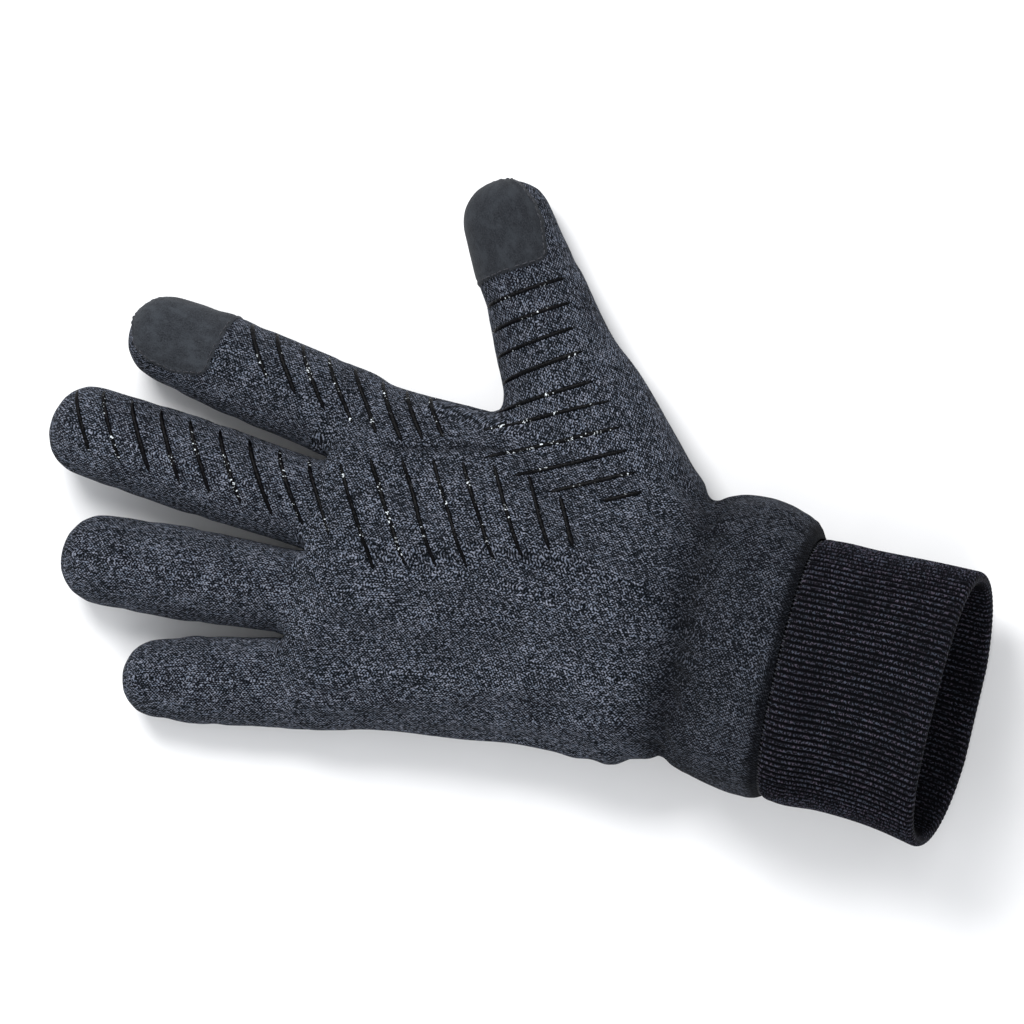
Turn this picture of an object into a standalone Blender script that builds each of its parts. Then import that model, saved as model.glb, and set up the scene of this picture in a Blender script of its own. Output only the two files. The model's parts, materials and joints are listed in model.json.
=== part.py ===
"""Knitted touchscreen glove for a right hand, filled out and lying on its back with the palm up.

Axes: +X runs from the fingertips to the cuff, +Y towards the thumb, +Z out of the palm.
Origin: on the flat back of the hand, below the middle of the palm.
The shapes are worked out in millimetres and scaled to metres when a mesh is made.
"""

import math

import bpy
from mathutils import Vector
from mathutils.bvhtree import BVHTree

MM = 0.001
PART = "touchscreen_glove"

# Fabric and gaps
FABRIC = 2.0              # thickness of the brushed knit
CUFF_FABRIC = 3.2         # the rib is folded double
PATCH_FABRIC = 0.8
ELASTIC_THICKNESS = 1.0
GAP = 0.3                 # clear space between neighbouring pieces
SEAM_ALLOWANCE = 0.75     # each panel's edge stands this far off the side seam
KNUCKLE_EASE = 0.45       # extra room behind the knuckles, where bent fingers come nearest
FLAT = 0.9                # how far the round sections are pressed flat on the back
SQUARENESS = 2.3          # superellipse exponent of the sections

# Knuckle line: the hand meets the fingers along a slightly slanted line
KNUCKLE_X = -57.0         # at the little finger's centre line
KNUCKLE_LITTLE_Y = -47.0
KNUCKLE_SLOPE = -0.046
HINGE_HEIGHT = 0.72       # hinge axes lie in the palm-side part of each finger

# Hinge limits, degrees
KNUCKLE_RANGE = (-15.0, 70.0)
MIDDLE_RANGE = (0.0, 80.0)
TIP_RATIO = 0.6
TIP_RANGE = (0.0, MIDDLE_RANGE[1] * TIP_RATIO)
THUMB_BASE_RANGE = (-10.0, 45.0)
THUMB_TIP_RANGE = (0.0, 60.0)
WRIST_RANGE = (-25.0, 35.0)

# Wrist and cuff
WRIST_X = 57.0
WRIST_AXIS_Z = 18.0
CUFF_START_X = 88.5
CUFF_END_X = 134.6
CUFF_BOTTOM = 0.8
CUFF_TOP = 48.5

FINGER_SIDES = 16
HALF_HAND_SIDES = 12
CUFF_SIDES = 28
DOME_RINGS = 4

# Each finger: knuckle y, angle from -X towards +Y, hinge distances and length past the knuckle,
# widths at the knuckle, the middle and before the round tip, and height at the knuckle and tip.
FINGERS = {
    "index": {"y": 29.6, "angle": 8.7, "hinges": (19.0, 35.5), "length": 55.1,
              "widths": (25.2, 25.2, 22.8), "heights": (20.5, 18.5)},
    "middle": {"y": 3.0, "angle": 4.6, "hinges": (25.0, 46.0), "length": 70.7,
               "widths": (24.2, 26.4, 25.0), "heights": (21.0, 19.5)},
    "ring": {"y": -21.9, "angle": -3.9, "hinges": (21.0, 40.0), "length": 60.5,
             "widths": (23.2, 25.6, 24.0), "heights": (20.5, 19.0)},
    "little": {"y": -47.1, "angle": -11.6, "hinges": (13.0, 24.5), "length": 38.3,
               "widths": (23.8, 23.2, 20.6), "heights": (18.5, 16.5)},
}
THUMB = {"x": 3.9, "y": 53.2, "angle": 56.1, "hinges": (24.0,), "length": 53.5,
         "widths": (32.6, 26.6, 26.0), "heights": (22.0, 21.0)}
DOME_SHARE = 0.47         # length of a fingertip's rounding, as a share of the width before it
THUMB_BASE_GROWTH = 0.30  # how much wider the thumb's base gets per mm towards the wrist
THUMB_BASE_LENGTH = 44.0

# Hand outline: x, low y, high y and palm height
HAND_STATIONS = (
    (-58.0, -59.2, 42.2, 21.5),
    (-44.0, -56.6, 39.4, 24.0),
    (-24.0, -51.4, 37.6, 28.5),
    (0.0, -48.6, 37.6, 32.5),
    (26.0, -47.6, 36.0, 35.0),
    (46.0, -44.4, 32.0, 36.5),
    (57.0, -42.6, 30.4, 37.0),
)
SEAM_HEIGHT = 0.42        # side seams, as a share of the hand's height

# Gathered wrist section: x, low y, high y, bottom and top
WRIST_STATIONS = (
    (57.0, -42.6, 30.4, 0.0, 37.0),
    (66.0, -44.8, 31.8, 0.0, 43.0),
    (76.0, -45.8, 32.6, 0.0, 49.0),
    (84.0, -46.4, 30.4, 0.0, 50.0),
    (88.1, -44.8, 25.6, 0.6, 48.2),
)
CUFF_STATIONS = (
    (88.5, -44.6, 25.2, CUFF_BOTTOM, 48.0),
    (104.0, -44.8, 25.0, CUFF_BOTTOM, CUFF_TOP),
    (120.0, -45.8, 25.6, CUFF_BOTTOM, CUFF_TOP),
    (CUFF_END_X, -47.4, 26.2, CUFF_BOTTOM, CUFF_TOP),
)

# Silicone grip stripes
STRIPE_RADIUS = 0.5
STRIPE_LIFT = STRIPE_RADIUS + 0.45
STRIPE_POINTS = 8
STRIPE_PITCH = 8.0

COLOURS = {
    "knit": (0.040, 0.046, 0.060, 1.0),
    "rib": (0.010, 0.010, 0.016, 1.0),
    "suede": (0.028, 0.030, 0.034, 1.0),
    "silicone": (0.004, 0.004, 0.005, 1.0),
    "thread": (0.020, 0.021, 0.026, 1.0),
    "elastic": (0.030, 0.030, 0.032, 1.0),
}
ROUGHNESS = {"knit": 0.95, "rib": 0.95, "suede": 0.85, "silicone": 0.25, "thread": 0.6, "elastic": 0.8}


# ---------------------------------------------------------------- scene and materials

def clear_scene():
    """Start from an empty scene."""
    for item in list(bpy.data.objects):
        bpy.data.objects.remove(item, do_unlink=True)


def new_collection(name):
    """A collection linked to the scene."""
    collection = bpy.data.collections.new(name)
    bpy.context.scene.collection.children.link(collection)
    return collection


def material_for(node, kind):
    """One Principled material for one sub-part."""
    material = bpy.data.materials.new(f"{node}_{kind}")
    material.use_nodes = True
    shader = material.node_tree.nodes["Principled BSDF"]
    shader.inputs["Base Color"].default_value = COLOURS[kind]
    shader.inputs["Roughness"].default_value = ROUGHNESS[kind]
    shader.inputs["Metallic"].default_value = 0.0
    material.diffuse_color = COLOURS[kind]
    return material


# ---------------------------------------------------------------- shapes in millimetres

def rounded(value, exponent=SQUARENESS):
    """Superellipse version of a sine or cosine."""
    return math.copysign(abs(value) ** (2.0 / exponent), value)


def between(stations, x):
    """Row of a station table at x, by straight lines between its stations."""
    if x <= stations[0][0]:
        return stations[0]
    for low, high in zip(stations, stations[1:]):
        if x <= high[0]:
            share = (x - low[0]) / (high[0] - low[0])
            return tuple(a + (b - a) * share for a, b in zip(low, high))
    return stations[-1]


def knuckle_line(y):
    """x of the knuckle line at y."""
    return KNUCKLE_X + KNUCKLE_SLOPE * (y - KNUCKLE_LITTLE_Y)


def direction(finger):
    """Unit vector along a finger, towards its tip."""
    angle = math.radians(finger["angle"])
    return Vector((-math.cos(angle), math.sin(angle), 0.0))


def across(finger):
    """Unit vector across a finger, towards its thumb-side edge."""
    along = direction(finger)
    return Vector((along.y, -along.x, 0.0))


def root(finger):
    """Centre line point where a finger's first hinge lies, at floor height."""
    x = finger.get("x", knuckle_line(finger["y"]))
    return Vector((x, finger["y"], 0.0))


def dome_start(finger):
    """Distance past the first hinge where the round tip begins."""
    return finger["length"] - DOME_SHARE * finger["widths"][2]


def finger_size(finger, distance):
    """Width and height of a finger at a distance past its first hinge."""
    start, middle, end = finger["widths"]
    half = 0.45 * finger["length"]
    straight_end = dome_start(finger)
    share = min(max(distance / straight_end, 0.0), 1.0)
    if distance < half:
        width = start + (middle - start) * max(distance, 0.0) / half
    else:
        width = middle + (end - middle) * min((distance - half) / (straight_end - half), 1.0)
    height = finger["heights"][0] + (finger["heights"][1] - finger["heights"][0]) * share
    if distance < 0.0:
        width -= THUMB_BASE_GROWTH * 2.0 * distance
        height -= THUMB_BASE_GROWTH * 0.4 * distance
    return width, height


def finger_point(finger, distance, angle, grow=0.0):
    """Point on a finger's outer surface, at an angle round it from its thumb side."""
    width, height = finger_size(finger, distance)
    centre_z = (height - FLAT) / 2.0
    dome = 1.0
    past = distance - dome_start(finger)
    if past > 0.0:
        dome_length = finger["length"] - dome_start(finger)
        dome = math.sqrt(max(1.0 - (past / dome_length) ** 2, 0.0))
    side = (width / 2.0 * dome + grow) * rounded(math.cos(angle))
    lift = ((height + FLAT) / 2.0 * dome + grow) * rounded(math.sin(angle))
    point = root(finger) + direction(finger) * distance + across(finger) * side
    point.z = max(centre_z + lift, 0.0)
    return point


def hinge_height(finger, distance):
    """Height of a hinge axis on a finger."""
    return finger_size(finger, distance)[1] * HINGE_HEIGHT


def hinge_clearance(z, axis_z, limits):
    """How far a sleeve's cut edge stands back from its hinge plane at height z."""
    limit = limits[1] if z > axis_z else -limits[0]
    return GAP + abs(z - axis_z) * math.tan(math.radians(limit / 2.0))


def ring_angles(sides):
    """Angles round a closed section."""
    return [2.0 * math.pi * index / sides for index in range(sides)]


def cut_ring(finger, distance, limits, side, follows_knuckles=False, sides=FINGER_SIDES):
    """Ring next to a hinge: side +1 is past the hinge, -1 before it."""
    axis_z = hinge_height(finger, distance)
    ring = []
    for angle in ring_angles(sides):
        point = finger_point(finger, distance, angle)
        shift = side * hinge_clearance(point.z, axis_z, limits)
        if follows_knuckles:
            shift += (point.x - knuckle_line(point.y)) / math.cos(math.radians(finger["angle"]))
        ring.append(finger_point(finger, distance + shift, angle))
    return ring


def plain_ring(finger, distance, sides=FINGER_SIDES, grow=0.0):
    """Ring square to a finger."""
    return [finger_point(finger, distance, angle, grow) for angle in ring_angles(sides)]


def oval_ring(station, angles, shrink=0.0):
    """Ring of the wrist or the cuff, square to X, pressed flat at the bottom."""
    x, low_y, high_y, bottom, top = station
    centre_y = (low_y + high_y) / 2.0
    half_width = (high_y - low_y) / 2.0 - shrink
    centre_z = (bottom + top - FLAT) / 2.0
    half_height = (top - bottom + FLAT) / 2.0 - shrink
    ring = []
    for angle in angles:
        y = centre_y + half_width * rounded(math.cos(angle))
        z = max(centre_z + half_height * rounded(math.sin(angle)), bottom + shrink)
        ring.append(Vector((x, y, z)))
    return ring


def hand_point(x, angle, shrink=0.0):
    """Point on the hand's outer surface. Its sections lean with the knuckle line at the front."""
    _, low_y, high_y, top = between(HAND_STATIONS, x)
    centre_y = (low_y + high_y) / 2.0
    y = centre_y + ((high_y - low_y) / 2.0 - shrink) * rounded(math.cos(angle), 2.6)
    seam_z = top * SEAM_HEIGHT
    if math.sin(angle) >= 0.0:
        z = seam_z + (top - seam_z - shrink) * rounded(math.sin(angle), 2.6)
    else:
        z = max(seam_z + (seam_z + FLAT - shrink) * rounded(math.sin(angle), 2.6), shrink)
    return Vector((x, y, z))


def hand_row(x, angles, shrink=0.0):
    """Row of points across the hand, leaning from square at the wrist to the knuckle line."""
    front = HAND_STATIONS[0][0]
    share = (WRIST_X - x) / (WRIST_X - front)
    row = []
    for angle in angles:
        point = hand_point(x, angle, shrink)
        point.x += share * (knuckle_line(point.y) - front)
        row.append(point)
    return row


# ---------------------------------------------------------------- meshes

def new_mesh_object(name, vertices, faces, collection):
    """Mesh object from points in millimetres."""
    mesh = bpy.data.meshes.new(name)
    mesh.from_pydata([point * MM for point in vertices], [], faces)
    mesh.update()
    item = bpy.data.objects.new(name, mesh)
    collection.objects.link(item)
    return item


def loft(name, rows, collection, closed=True, close_last=False, close_first=False):
    """Skin through rows of points that run from +X to -X, each turning from +Y up to +Z.

    Closed rows run round a tube, open rows across a sheet.
    """
    count = len(rows[0])
    vertices = [point for row in rows for point in row]
    faces = []
    steps = count if closed else count - 1
    for level in range(len(rows) - 1):
        for step in range(steps):
            after = (step + 1) % count
            low = level * count
            high = low + count
            faces.append((low + step, high + step, high + after, low + after))
    if close_last:
        last = (len(rows) - 1) * count
        faces.append(tuple(last + step for step in reversed(range(count))))
    if close_first:
        faces.append(tuple(range(count)))
    return new_mesh_object(name, vertices, faces, collection)


def thicken(item, thickness, inward=True):
    """Give a skin its fabric thickness."""
    solidify = item.modifiers.new("fabric", "SOLIDIFY")
    solidify.thickness = thickness * MM
    solidify.offset = -1.0 if inward else 1.0
    solidify.use_even_offset = True
    return item


def cut(item, cutter):
    """Take a cutter's volume away."""
    boolean = item.modifiers.new("cut", "BOOLEAN")
    boolean.operation = "DIFFERENCE"
    boolean.object = cutter
    boolean.solver = "EXACT"
    return item


def finish(item, kind):
    """Material and smooth shading for a sub-part."""
    item.data.materials.append(material_for(item.name, kind))
    item.data.shade_smooth()
    return item


def surface_tree(items):
    """Search tree over the evaluated surfaces of some pieces, in world space."""
    graph = bpy.context.evaluated_depsgraph_get()
    vertices = []
    faces = []
    for item in items:
        mesh = item.evaluated_get(graph).to_mesh()
        offset = len(vertices)
        vertices += [item.matrix_world @ vertex.co for vertex in mesh.vertices]
        faces += [[offset + index for index in polygon.vertices] for polygon in mesh.polygons]
    return BVHTree.FromPolygons(vertices, faces)


def lay_on(tree, outside, target):
    """Point of a bead that lies on a surface, seen from outside towards a target."""
    heading = (target - outside).normalized()
    hit, normal, _, _ = tree.ray_cast(outside * MM, heading)
    if hit is None:
        return None
    if normal.dot(heading) > 0.0:
        normal.negate()
    return hit / MM + normal * STRIPE_LIFT


def bead(name, points, radius, collection, kind, cyclic=False):
    """Round bead or thread along some points."""
    curve = bpy.data.curves.new(name, "CURVE")
    curve.dimensions = "3D"
    curve.bevel_depth = radius * MM
    curve.bevel_resolution = 1
    curve.use_fill_caps = not cyclic
    spline = curve.splines.new("POLY")
    spline.points.add(len(points) - 1)
    for place, point in zip(spline.points, points):
        place.co = (point.x * MM, point.y * MM, point.z * MM, 1.0)
    spline.use_cyclic_u = cyclic
    item = bpy.data.objects.new(name, curve)
    collection.objects.link(item)
    curve.materials.append(material_for(name, kind))
    return item


# ---------------------------------------------------------------- hand

def make_hand_volume(cutters):
    """Closed volume of the hand, a gap larger all round, used to trim the thumb's base."""
    angles = ring_angles(2 * HALF_HAND_SIDES)
    rows = [hand_row(station[0], angles, -GAP - 0.1) for station in HAND_STATIONS]
    volume = loft("hand_volume", rows[::-1], cutters, close_last=True, close_first=True)
    return as_guide(volume)


def as_guide(item):
    """Keep a cutter out of the model."""
    item.hide_render = True
    item.display_type = "WIRE"
    return item


def hand_edge_rows(angles):
    """Rows across the hand: the trimmed knuckle edge, the stations and the trimmed wrist edge."""
    front, *middle, back = [station[0] for station in HAND_STATIONS]
    rows = []
    first = []
    for point in hand_row(front, angles):
        finger_axis = FINGERS["middle"]["heights"][0] * HINGE_HEIGHT
        point.x += hinge_clearance(point.z, finger_axis, KNUCKLE_RANGE) + KNUCKLE_EASE
        first.append(point)
    rows.append(first)
    rows += [hand_row(x, angles) for x in middle]
    last = []
    for point in hand_row(back, angles):
        limits = WRIST_RANGE
        point.x -= hinge_clearance(point.z, WRIST_AXIS_Z, limits)
        last.append(point)
    rows.append(last)
    return rows


def make_hand_panel(name, first_angle, last_angle, seam_shift, collection):
    """Palm or back panel, from one side seam to the other."""
    angles = [first_angle + (last_angle - first_angle) * step / HALF_HAND_SIDES
              for step in range(HALF_HAND_SIDES + 1)]
    rows = hand_edge_rows(angles)
    for row in rows:
        row[0].z += seam_shift
        row[-1].z += seam_shift
    panel = loft(name, rows[::-1], collection, closed=False)
    thicken(panel, FABRIC)
    return finish(panel, "knit")


def make_thumb_base(hand_volume, collection):
    """Flared base of the thumb, sewn to the side of the hand."""
    rings = [plain_ring(THUMB, -THUMB_BASE_LENGTH * share) for share in (1.0, 0.66, 0.33)]
    rings.append(cut_ring(THUMB, 0.0, THUMB_BASE_RANGE, -1.0))
    base = loft("thumb_base", rings, collection)
    thicken(base, FABRIC)
    cut(base, hand_volume)
    return finish(base, "knit")


def make_thumb_hole(cutters):
    """Volume that opens the hand's side into the thumb."""
    rings = [plain_ring(THUMB, -THUMB_BASE_LENGTH * share, grow=-FABRIC - 1.0)
             for share in (0.75, 0.4, 0.0)]
    for ring in rings:
        for point in ring:
            point.z = max(point.z, FABRIC + 1.0)
    hole = loft("thumb_hole", rings, cutters, close_last=True, close_first=True)
    return as_guide(hole)


# ---------------------------------------------------------------- fingers

def make_sleeve(name, rings, collection, closed_tip=False):
    """One knitted sleeve between two hinges, or up to the fingertip."""
    sleeve = loft(name, rings, collection, close_last=closed_tip)
    thicken(sleeve, FABRIC)
    return finish(sleeve, "knit")


def dome_distances(finger):
    """Distances of the rings that round off a fingertip."""
    dome_length = finger["length"] - dome_start(finger)
    turns = [math.radians(84.0) * step / DOME_RINGS for step in range(DOME_RINGS + 1)]
    return [dome_start(finger) + dome_length * math.sin(turn) for turn in turns]


def make_finger(name, finger, collection):
    """Three sleeves of a finger: from the knuckle, between the hinges and over the tip."""
    first, second = finger["hinges"]
    proximal = [
        cut_ring(finger, 0.0, KNUCKLE_RANGE, 1.0, follows_knuckles=True),
        plain_ring(finger, first / 2.0 + 1.0),
        cut_ring(finger, first, MIDDLE_RANGE, -1.0),
    ]
    middle = [
        cut_ring(finger, first, MIDDLE_RANGE, 1.0),
        plain_ring(finger, (first + second) / 2.0 + 1.0),
        cut_ring(finger, second, TIP_RANGE, -1.0),
    ]
    tip = [cut_ring(finger, second, TIP_RANGE, 1.0)]
    tip += [plain_ring(finger, distance) for distance in dome_distances(finger)]
    return [
        make_sleeve(f"{name}_proximal_sleeve", proximal, collection),
        make_sleeve(f"{name}_middle_sleeve", middle, collection),
        make_sleeve(f"{name}_tip_sleeve", tip, collection, closed_tip=True),
    ]


def make_thumb(collection):
    """Two sleeves of the thumb."""
    hinge = THUMB["hinges"][0]
    proximal = [
        cut_ring(THUMB, 0.0, THUMB_BASE_RANGE, 1.0),
        plain_ring(THUMB, hinge / 2.0),
        cut_ring(THUMB, hinge, THUMB_TIP_RANGE, -1.0),
    ]
    tip = [cut_ring(THUMB, hinge, THUMB_TIP_RANGE, 1.0)]
    tip += [plain_ring(THUMB, distance) for distance in dome_distances(THUMB)]
    return [
        make_sleeve("thumb_proximal_sleeve", proximal, collection),
        make_sleeve("thumb_tip_sleeve", tip, collection, closed_tip=True),
    ]


def make_touch_patch(name, finger, limits, first_side, last_side, collection):
    """Conductive suede patch over the palm side of a fingertip, on the sleeve's own facets."""
    hinge = finger["hinges"][-1]
    first = cut_ring(finger, hinge, limits, 1.0)
    rows = [first] + [plain_ring(finger, distance) for distance in dome_distances(finger)[:-1]]
    axis = finger_point(finger, hinge, 0.0).lerp(finger_point(finger, hinge, math.pi), 0.5)
    axis.z = finger_size(finger, hinge)[1] / 2.0
    lifted = []
    for row in rows:
        strip = []
        for point in row[first_side:last_side + 1]:
            along = (point - axis).dot(direction(finger))
            centre = axis + direction(finger) * min(along, dome_start(finger) - hinge)
            strip.append(point + (point - centre).normalized() * (GAP + 0.15))
        lifted.append(strip)
    patch = loft(name, lifted, collection, closed=False)
    thicken(patch, PATCH_FABRIC, inward=False)
    return finish(patch, "suede")


# ---------------------------------------------------------------- wrist and cuff

def make_wrist_section(collection):
    """Gathered section between the wrist elastic and the cuff, bulging a little over the cuff."""
    rings = [oval_ring(station, ring_angles(CUFF_SIDES)) for station in WRIST_STATIONS]
    for point in rings[0]:
        point.x += hinge_clearance(point.z, WRIST_AXIS_Z, WRIST_RANGE)
    section = loft("wrist_section", rings[::-1], collection)
    thicken(section, FABRIC)
    return finish(section, "knit")


def make_wrist_elastic(collection):
    """Elastic band sewn inside the narrowest part of the hand."""
    width = 6.0
    end_x = WRIST_X - 8.0
    inset = FABRIC + GAP + 0.2
    angles = ring_angles(2 * HALF_HAND_SIDES)
    rows = [hand_row(x, angles, inset) for x in (end_x, end_x - width)]
    band = loft("wrist_elastic", rows, collection)
    thicken(band, ELASTIC_THICKNESS)
    return finish(band, "elastic")


def make_rib_cuff(collection):
    """Double rib cuff, folded at its open end."""
    rings = [oval_ring(station, ring_angles(CUFF_SIDES)) for station in CUFF_STATIONS]
    cuff = loft("rib_cuff", rings[::-1], collection)
    thicken(cuff, CUFF_FABRIC)
    return finish(cuff, "rib")


def make_cuff_seam(collection):
    """Overlock thread over the joint of the wrist section and the cuff, from side to side."""
    radius = 0.4
    station = (CUFF_START_X - 0.2, *CUFF_STATIONS[0][1:])
    sweep = [math.radians(-25.0 + 230.0 * step / CUFF_SIDES) for step in range(CUFF_SIDES + 1)]
    arch = oval_ring(station, sweep, -(radius + GAP + 0.9))
    return bead("cuff_seam_thread", arch, radius, collection, "thread")


# ---------------------------------------------------------------- grip stripes

def finger_stripe(name, finger, distance, first_angle, last_angle, slant, tree, collection):
    """Bead over the palm side of a finger, from its thumb side, slanting towards the hand."""
    height = finger_size(finger, distance)[1]
    points = []
    for step in range(STRIPE_POINTS):
        share = step / (STRIPE_POINTS - 1)
        angle = math.radians(first_angle + (last_angle - first_angle) * share)
        place = distance - slant * share
        outside = finger_point(finger, place, angle, 8.0)
        inside = root(finger) + direction(finger) * place
        inside.z = height / 2.0
        points.append(lay_on(tree, outside, inside))
    return bead(name, points, STRIPE_RADIUS, collection, "silicone")


def palm_stripe(name, start, end, tree, collection, neighbour=None):
    """Bead laid on the palm from above, between two points of the plan, clear of a neighbour."""
    points = []
    for step in range(STRIPE_POINTS):
        place = Vector((*start, 0.0)).lerp(Vector((*end, 0.0)), step / (STRIPE_POINTS - 1))
        place.z = 80.0
        points.append(lay_on(tree, place, place - Vector((0.0, 0.0, 1.0))))
    on_palm = [point for point in points if point is not None]
    if neighbour is not None:
        on_palm = [point for point in on_palm
                   if neighbour.find_nearest(point * MM)[3] > 4.0 * STRIPE_RADIUS * MM]
    return bead(name, on_palm, STRIPE_RADIUS, collection, "silicone")


def stripe_room(finger, number, hinge_ranges):
    """Lowest and highest distance on the palm side of one sleeve that a stripe may reach."""
    hinges = [0.0, *finger["hinges"]]
    margin = STRIPE_RADIUS + 0.6

    def standoff(hinge, limits):
        top = finger_size(finger, hinge)[1]
        return margin + hinge_clearance(top, hinge_height(finger, hinge), limits)

    low = hinges[number] + standoff(hinges[number], hinge_ranges[number])
    if number + 1 == len(hinges):
        return low, finger["length"] - 3.0
    return low, hinges[number + 1] - standoff(hinges[number + 1], hinge_ranges[number + 1])


def make_finger_stripes(finger, sleeves, slant, last_angle, collection):
    """Slanted stripes on the palm side of some sleeves, as many as each has room for."""
    ranges = (KNUCKLE_RANGE, MIDDLE_RANGE, TIP_RANGE)
    for number, sleeve in enumerate(sleeves):
        low, high = stripe_room(finger, number, ranges)
        spare = high - low - slant
        count = int(spare / STRIPE_PITCH) + 1
        first = low + slant + (spare - (count - 1) * STRIPE_PITCH) / 2.0
        body = sleeve.name.removesuffix("_sleeve")
        for step in range(count):
            finger_stripe(f"grip_stripe_{body}_{step + 1}", finger, first + STRIPE_PITCH * step,
                          38.0, last_angle, slant, surface_tree([sleeve]), collection)


def make_index_root_stripes(palm, collection):
    """Stripes that carry the index finger's series on to the edge of the palm."""
    tree = surface_tree([palm])
    for number in range(3):
        x = -44.0 + STRIPE_PITCH * number
        start = (x, 34.0 - 0.6 * number)
        end = (x + 6.5 - 1.4 * number, 25.0 + 1.0 * number)
        palm_stripe(f"grip_stripe_index_root_{number + 1}", start, end, tree, collection)


def make_palm_stripes(palm, collection):
    """Long diagonal stripes that carry the middle finger's series across the palm."""
    tree = surface_tree([palm])
    count = 8
    for number in range(count):
        share = number / (count - 1)
        start = (-43.0 + STRIPE_PITCH * number, 14.0 + 5.0 * share * share)
        length = 29.0 - 14.0 * share
        end = (start[0] + 0.52 * length, start[1] - 0.85 * length)
        palm_stripe(f"grip_stripe_palm_{number + 1}", start, end, tree, collection)


def make_thumb_stripes(sleeve, thumb_base, collection):
    """Cross stripes of the thumb, on its first sleeve and its base."""
    for number, distance in enumerate((10.0, 17.0)):
        finger_stripe(f"grip_stripe_thumb_proximal_{number + 1}", THUMB, distance, 40.0, 140.0,
                      0.0, surface_tree([sleeve]), collection)
    for number, distance in enumerate((-7.5, -14.0)):
        finger_stripe(f"grip_stripe_thumb_base_{number + 1}", THUMB, distance, 38.0, 76.0,
                      0.0, surface_tree([thumb_base]), collection)


def make_thenar_stripes(palm, thumb_base, collection):
    """Stripes over the ball of the thumb, square to the thumb."""
    tree = surface_tree([palm])
    beside = surface_tree([thumb_base])
    for number in range(4):
        centre = root(THUMB) - direction(THUMB) * (14.0 + 6.8 * number)
        half = 9.0 - 0.9 * number
        middle = centre - across(THUMB) * (12.0 - 2.6 * number)
        start = middle - across(THUMB) * half
        end = middle + across(THUMB) * half
        palm_stripe(f"grip_stripe_thenar_{number + 1}", start.xy, end.xy, tree, collection,
                    beside)


# ---------------------------------------------------------------- assembly

def main():
    """Build the glove."""
    clear_scene()
    parts = new_collection(PART)
    cutters = new_collection("cutters")

    hand_volume = make_hand_volume(cutters)
    thumb_hole = make_thumb_hole(cutters)
    palm = make_hand_panel("palm_panel", 0.0, math.pi, SEAM_ALLOWANCE, parts)
    back = make_hand_panel("back_panel", math.pi, 2.0 * math.pi, -SEAM_ALLOWANCE, parts)
    cut(palm, thumb_hole)
    cut(back, thumb_hole)
    thumb_base = make_thumb_base(hand_volume, parts)
    make_wrist_elastic(parts)
    make_wrist_section(parts)
    make_rib_cuff(parts)
    make_cuff_seam(parts)

    sleeves = {name: make_finger(name, finger, parts) for name, finger in FINGERS.items()}
    thumb_sleeves = make_thumb(parts)
    make_touch_patch("index_touch_patch", FINGERS["index"], TIP_RANGE, 1, 7, parts)
    make_touch_patch("thumb_touch_patch", THUMB, THUMB_TIP_RANGE, 1, 7, parts)

    make_finger_stripes(FINGERS["index"], sleeves["index"][:2], 4.0, 112.0, parts)
    make_finger_stripes(FINGERS["middle"], sleeves["middle"], 4.5, 120.0, parts)
    make_index_root_stripes(palm, parts)
    make_palm_stripes(palm, parts)
    make_thumb_stripes(thumb_sleeves[0], thumb_base, parts)
    make_thenar_stripes(palm, thumb_base, parts)


main()
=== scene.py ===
"""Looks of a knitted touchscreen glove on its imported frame.

Axes as in the frame: +X to the cuff, +Y to the thumb, +Z out of the palm.
Shapes are worked out in millimetres and scaled to metres when a mesh is made.
"""

import json
import math

import bmesh
import bpy
import numpy as np
from mathutils import Matrix, Vector
from mathutils.bvhtree import BVHTree

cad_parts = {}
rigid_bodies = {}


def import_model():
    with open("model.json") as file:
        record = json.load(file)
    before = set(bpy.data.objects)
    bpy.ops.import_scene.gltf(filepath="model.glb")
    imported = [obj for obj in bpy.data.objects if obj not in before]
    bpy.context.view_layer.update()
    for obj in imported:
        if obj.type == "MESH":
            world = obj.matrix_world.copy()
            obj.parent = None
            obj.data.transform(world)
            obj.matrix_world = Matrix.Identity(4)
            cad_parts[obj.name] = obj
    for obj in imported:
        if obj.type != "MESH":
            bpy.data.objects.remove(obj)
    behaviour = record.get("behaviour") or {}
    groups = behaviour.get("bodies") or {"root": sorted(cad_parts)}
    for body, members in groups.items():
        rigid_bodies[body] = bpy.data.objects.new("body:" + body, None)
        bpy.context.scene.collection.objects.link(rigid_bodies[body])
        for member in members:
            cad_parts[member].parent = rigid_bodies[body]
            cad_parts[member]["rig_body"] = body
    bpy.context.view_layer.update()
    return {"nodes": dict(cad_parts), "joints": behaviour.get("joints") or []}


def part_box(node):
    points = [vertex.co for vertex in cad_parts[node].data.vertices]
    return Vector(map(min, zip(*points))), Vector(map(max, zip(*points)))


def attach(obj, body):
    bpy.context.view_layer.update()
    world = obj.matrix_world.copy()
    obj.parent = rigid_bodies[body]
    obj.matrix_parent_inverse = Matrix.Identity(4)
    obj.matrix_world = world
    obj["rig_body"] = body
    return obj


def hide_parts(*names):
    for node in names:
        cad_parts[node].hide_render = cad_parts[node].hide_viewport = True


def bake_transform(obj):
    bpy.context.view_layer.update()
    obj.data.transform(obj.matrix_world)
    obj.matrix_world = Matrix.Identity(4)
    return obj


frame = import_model()

MM = 0.001
JOINTS = {joint["name"]: joint for joint in frame["joints"]}

# ---- sizes, mm

FLAT = 0.9                # how far the sections are pressed flat on the back
FINGER_SQUARENESS = 2.3   # superellipse exponents of the sections
HAND_SQUARENESS = 2.6
FABRIC = 1.8              # from the knit's outside to its brushed inside
DOME_SHARE = 0.47         # length of a round tip, as a share of the width before it

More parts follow.
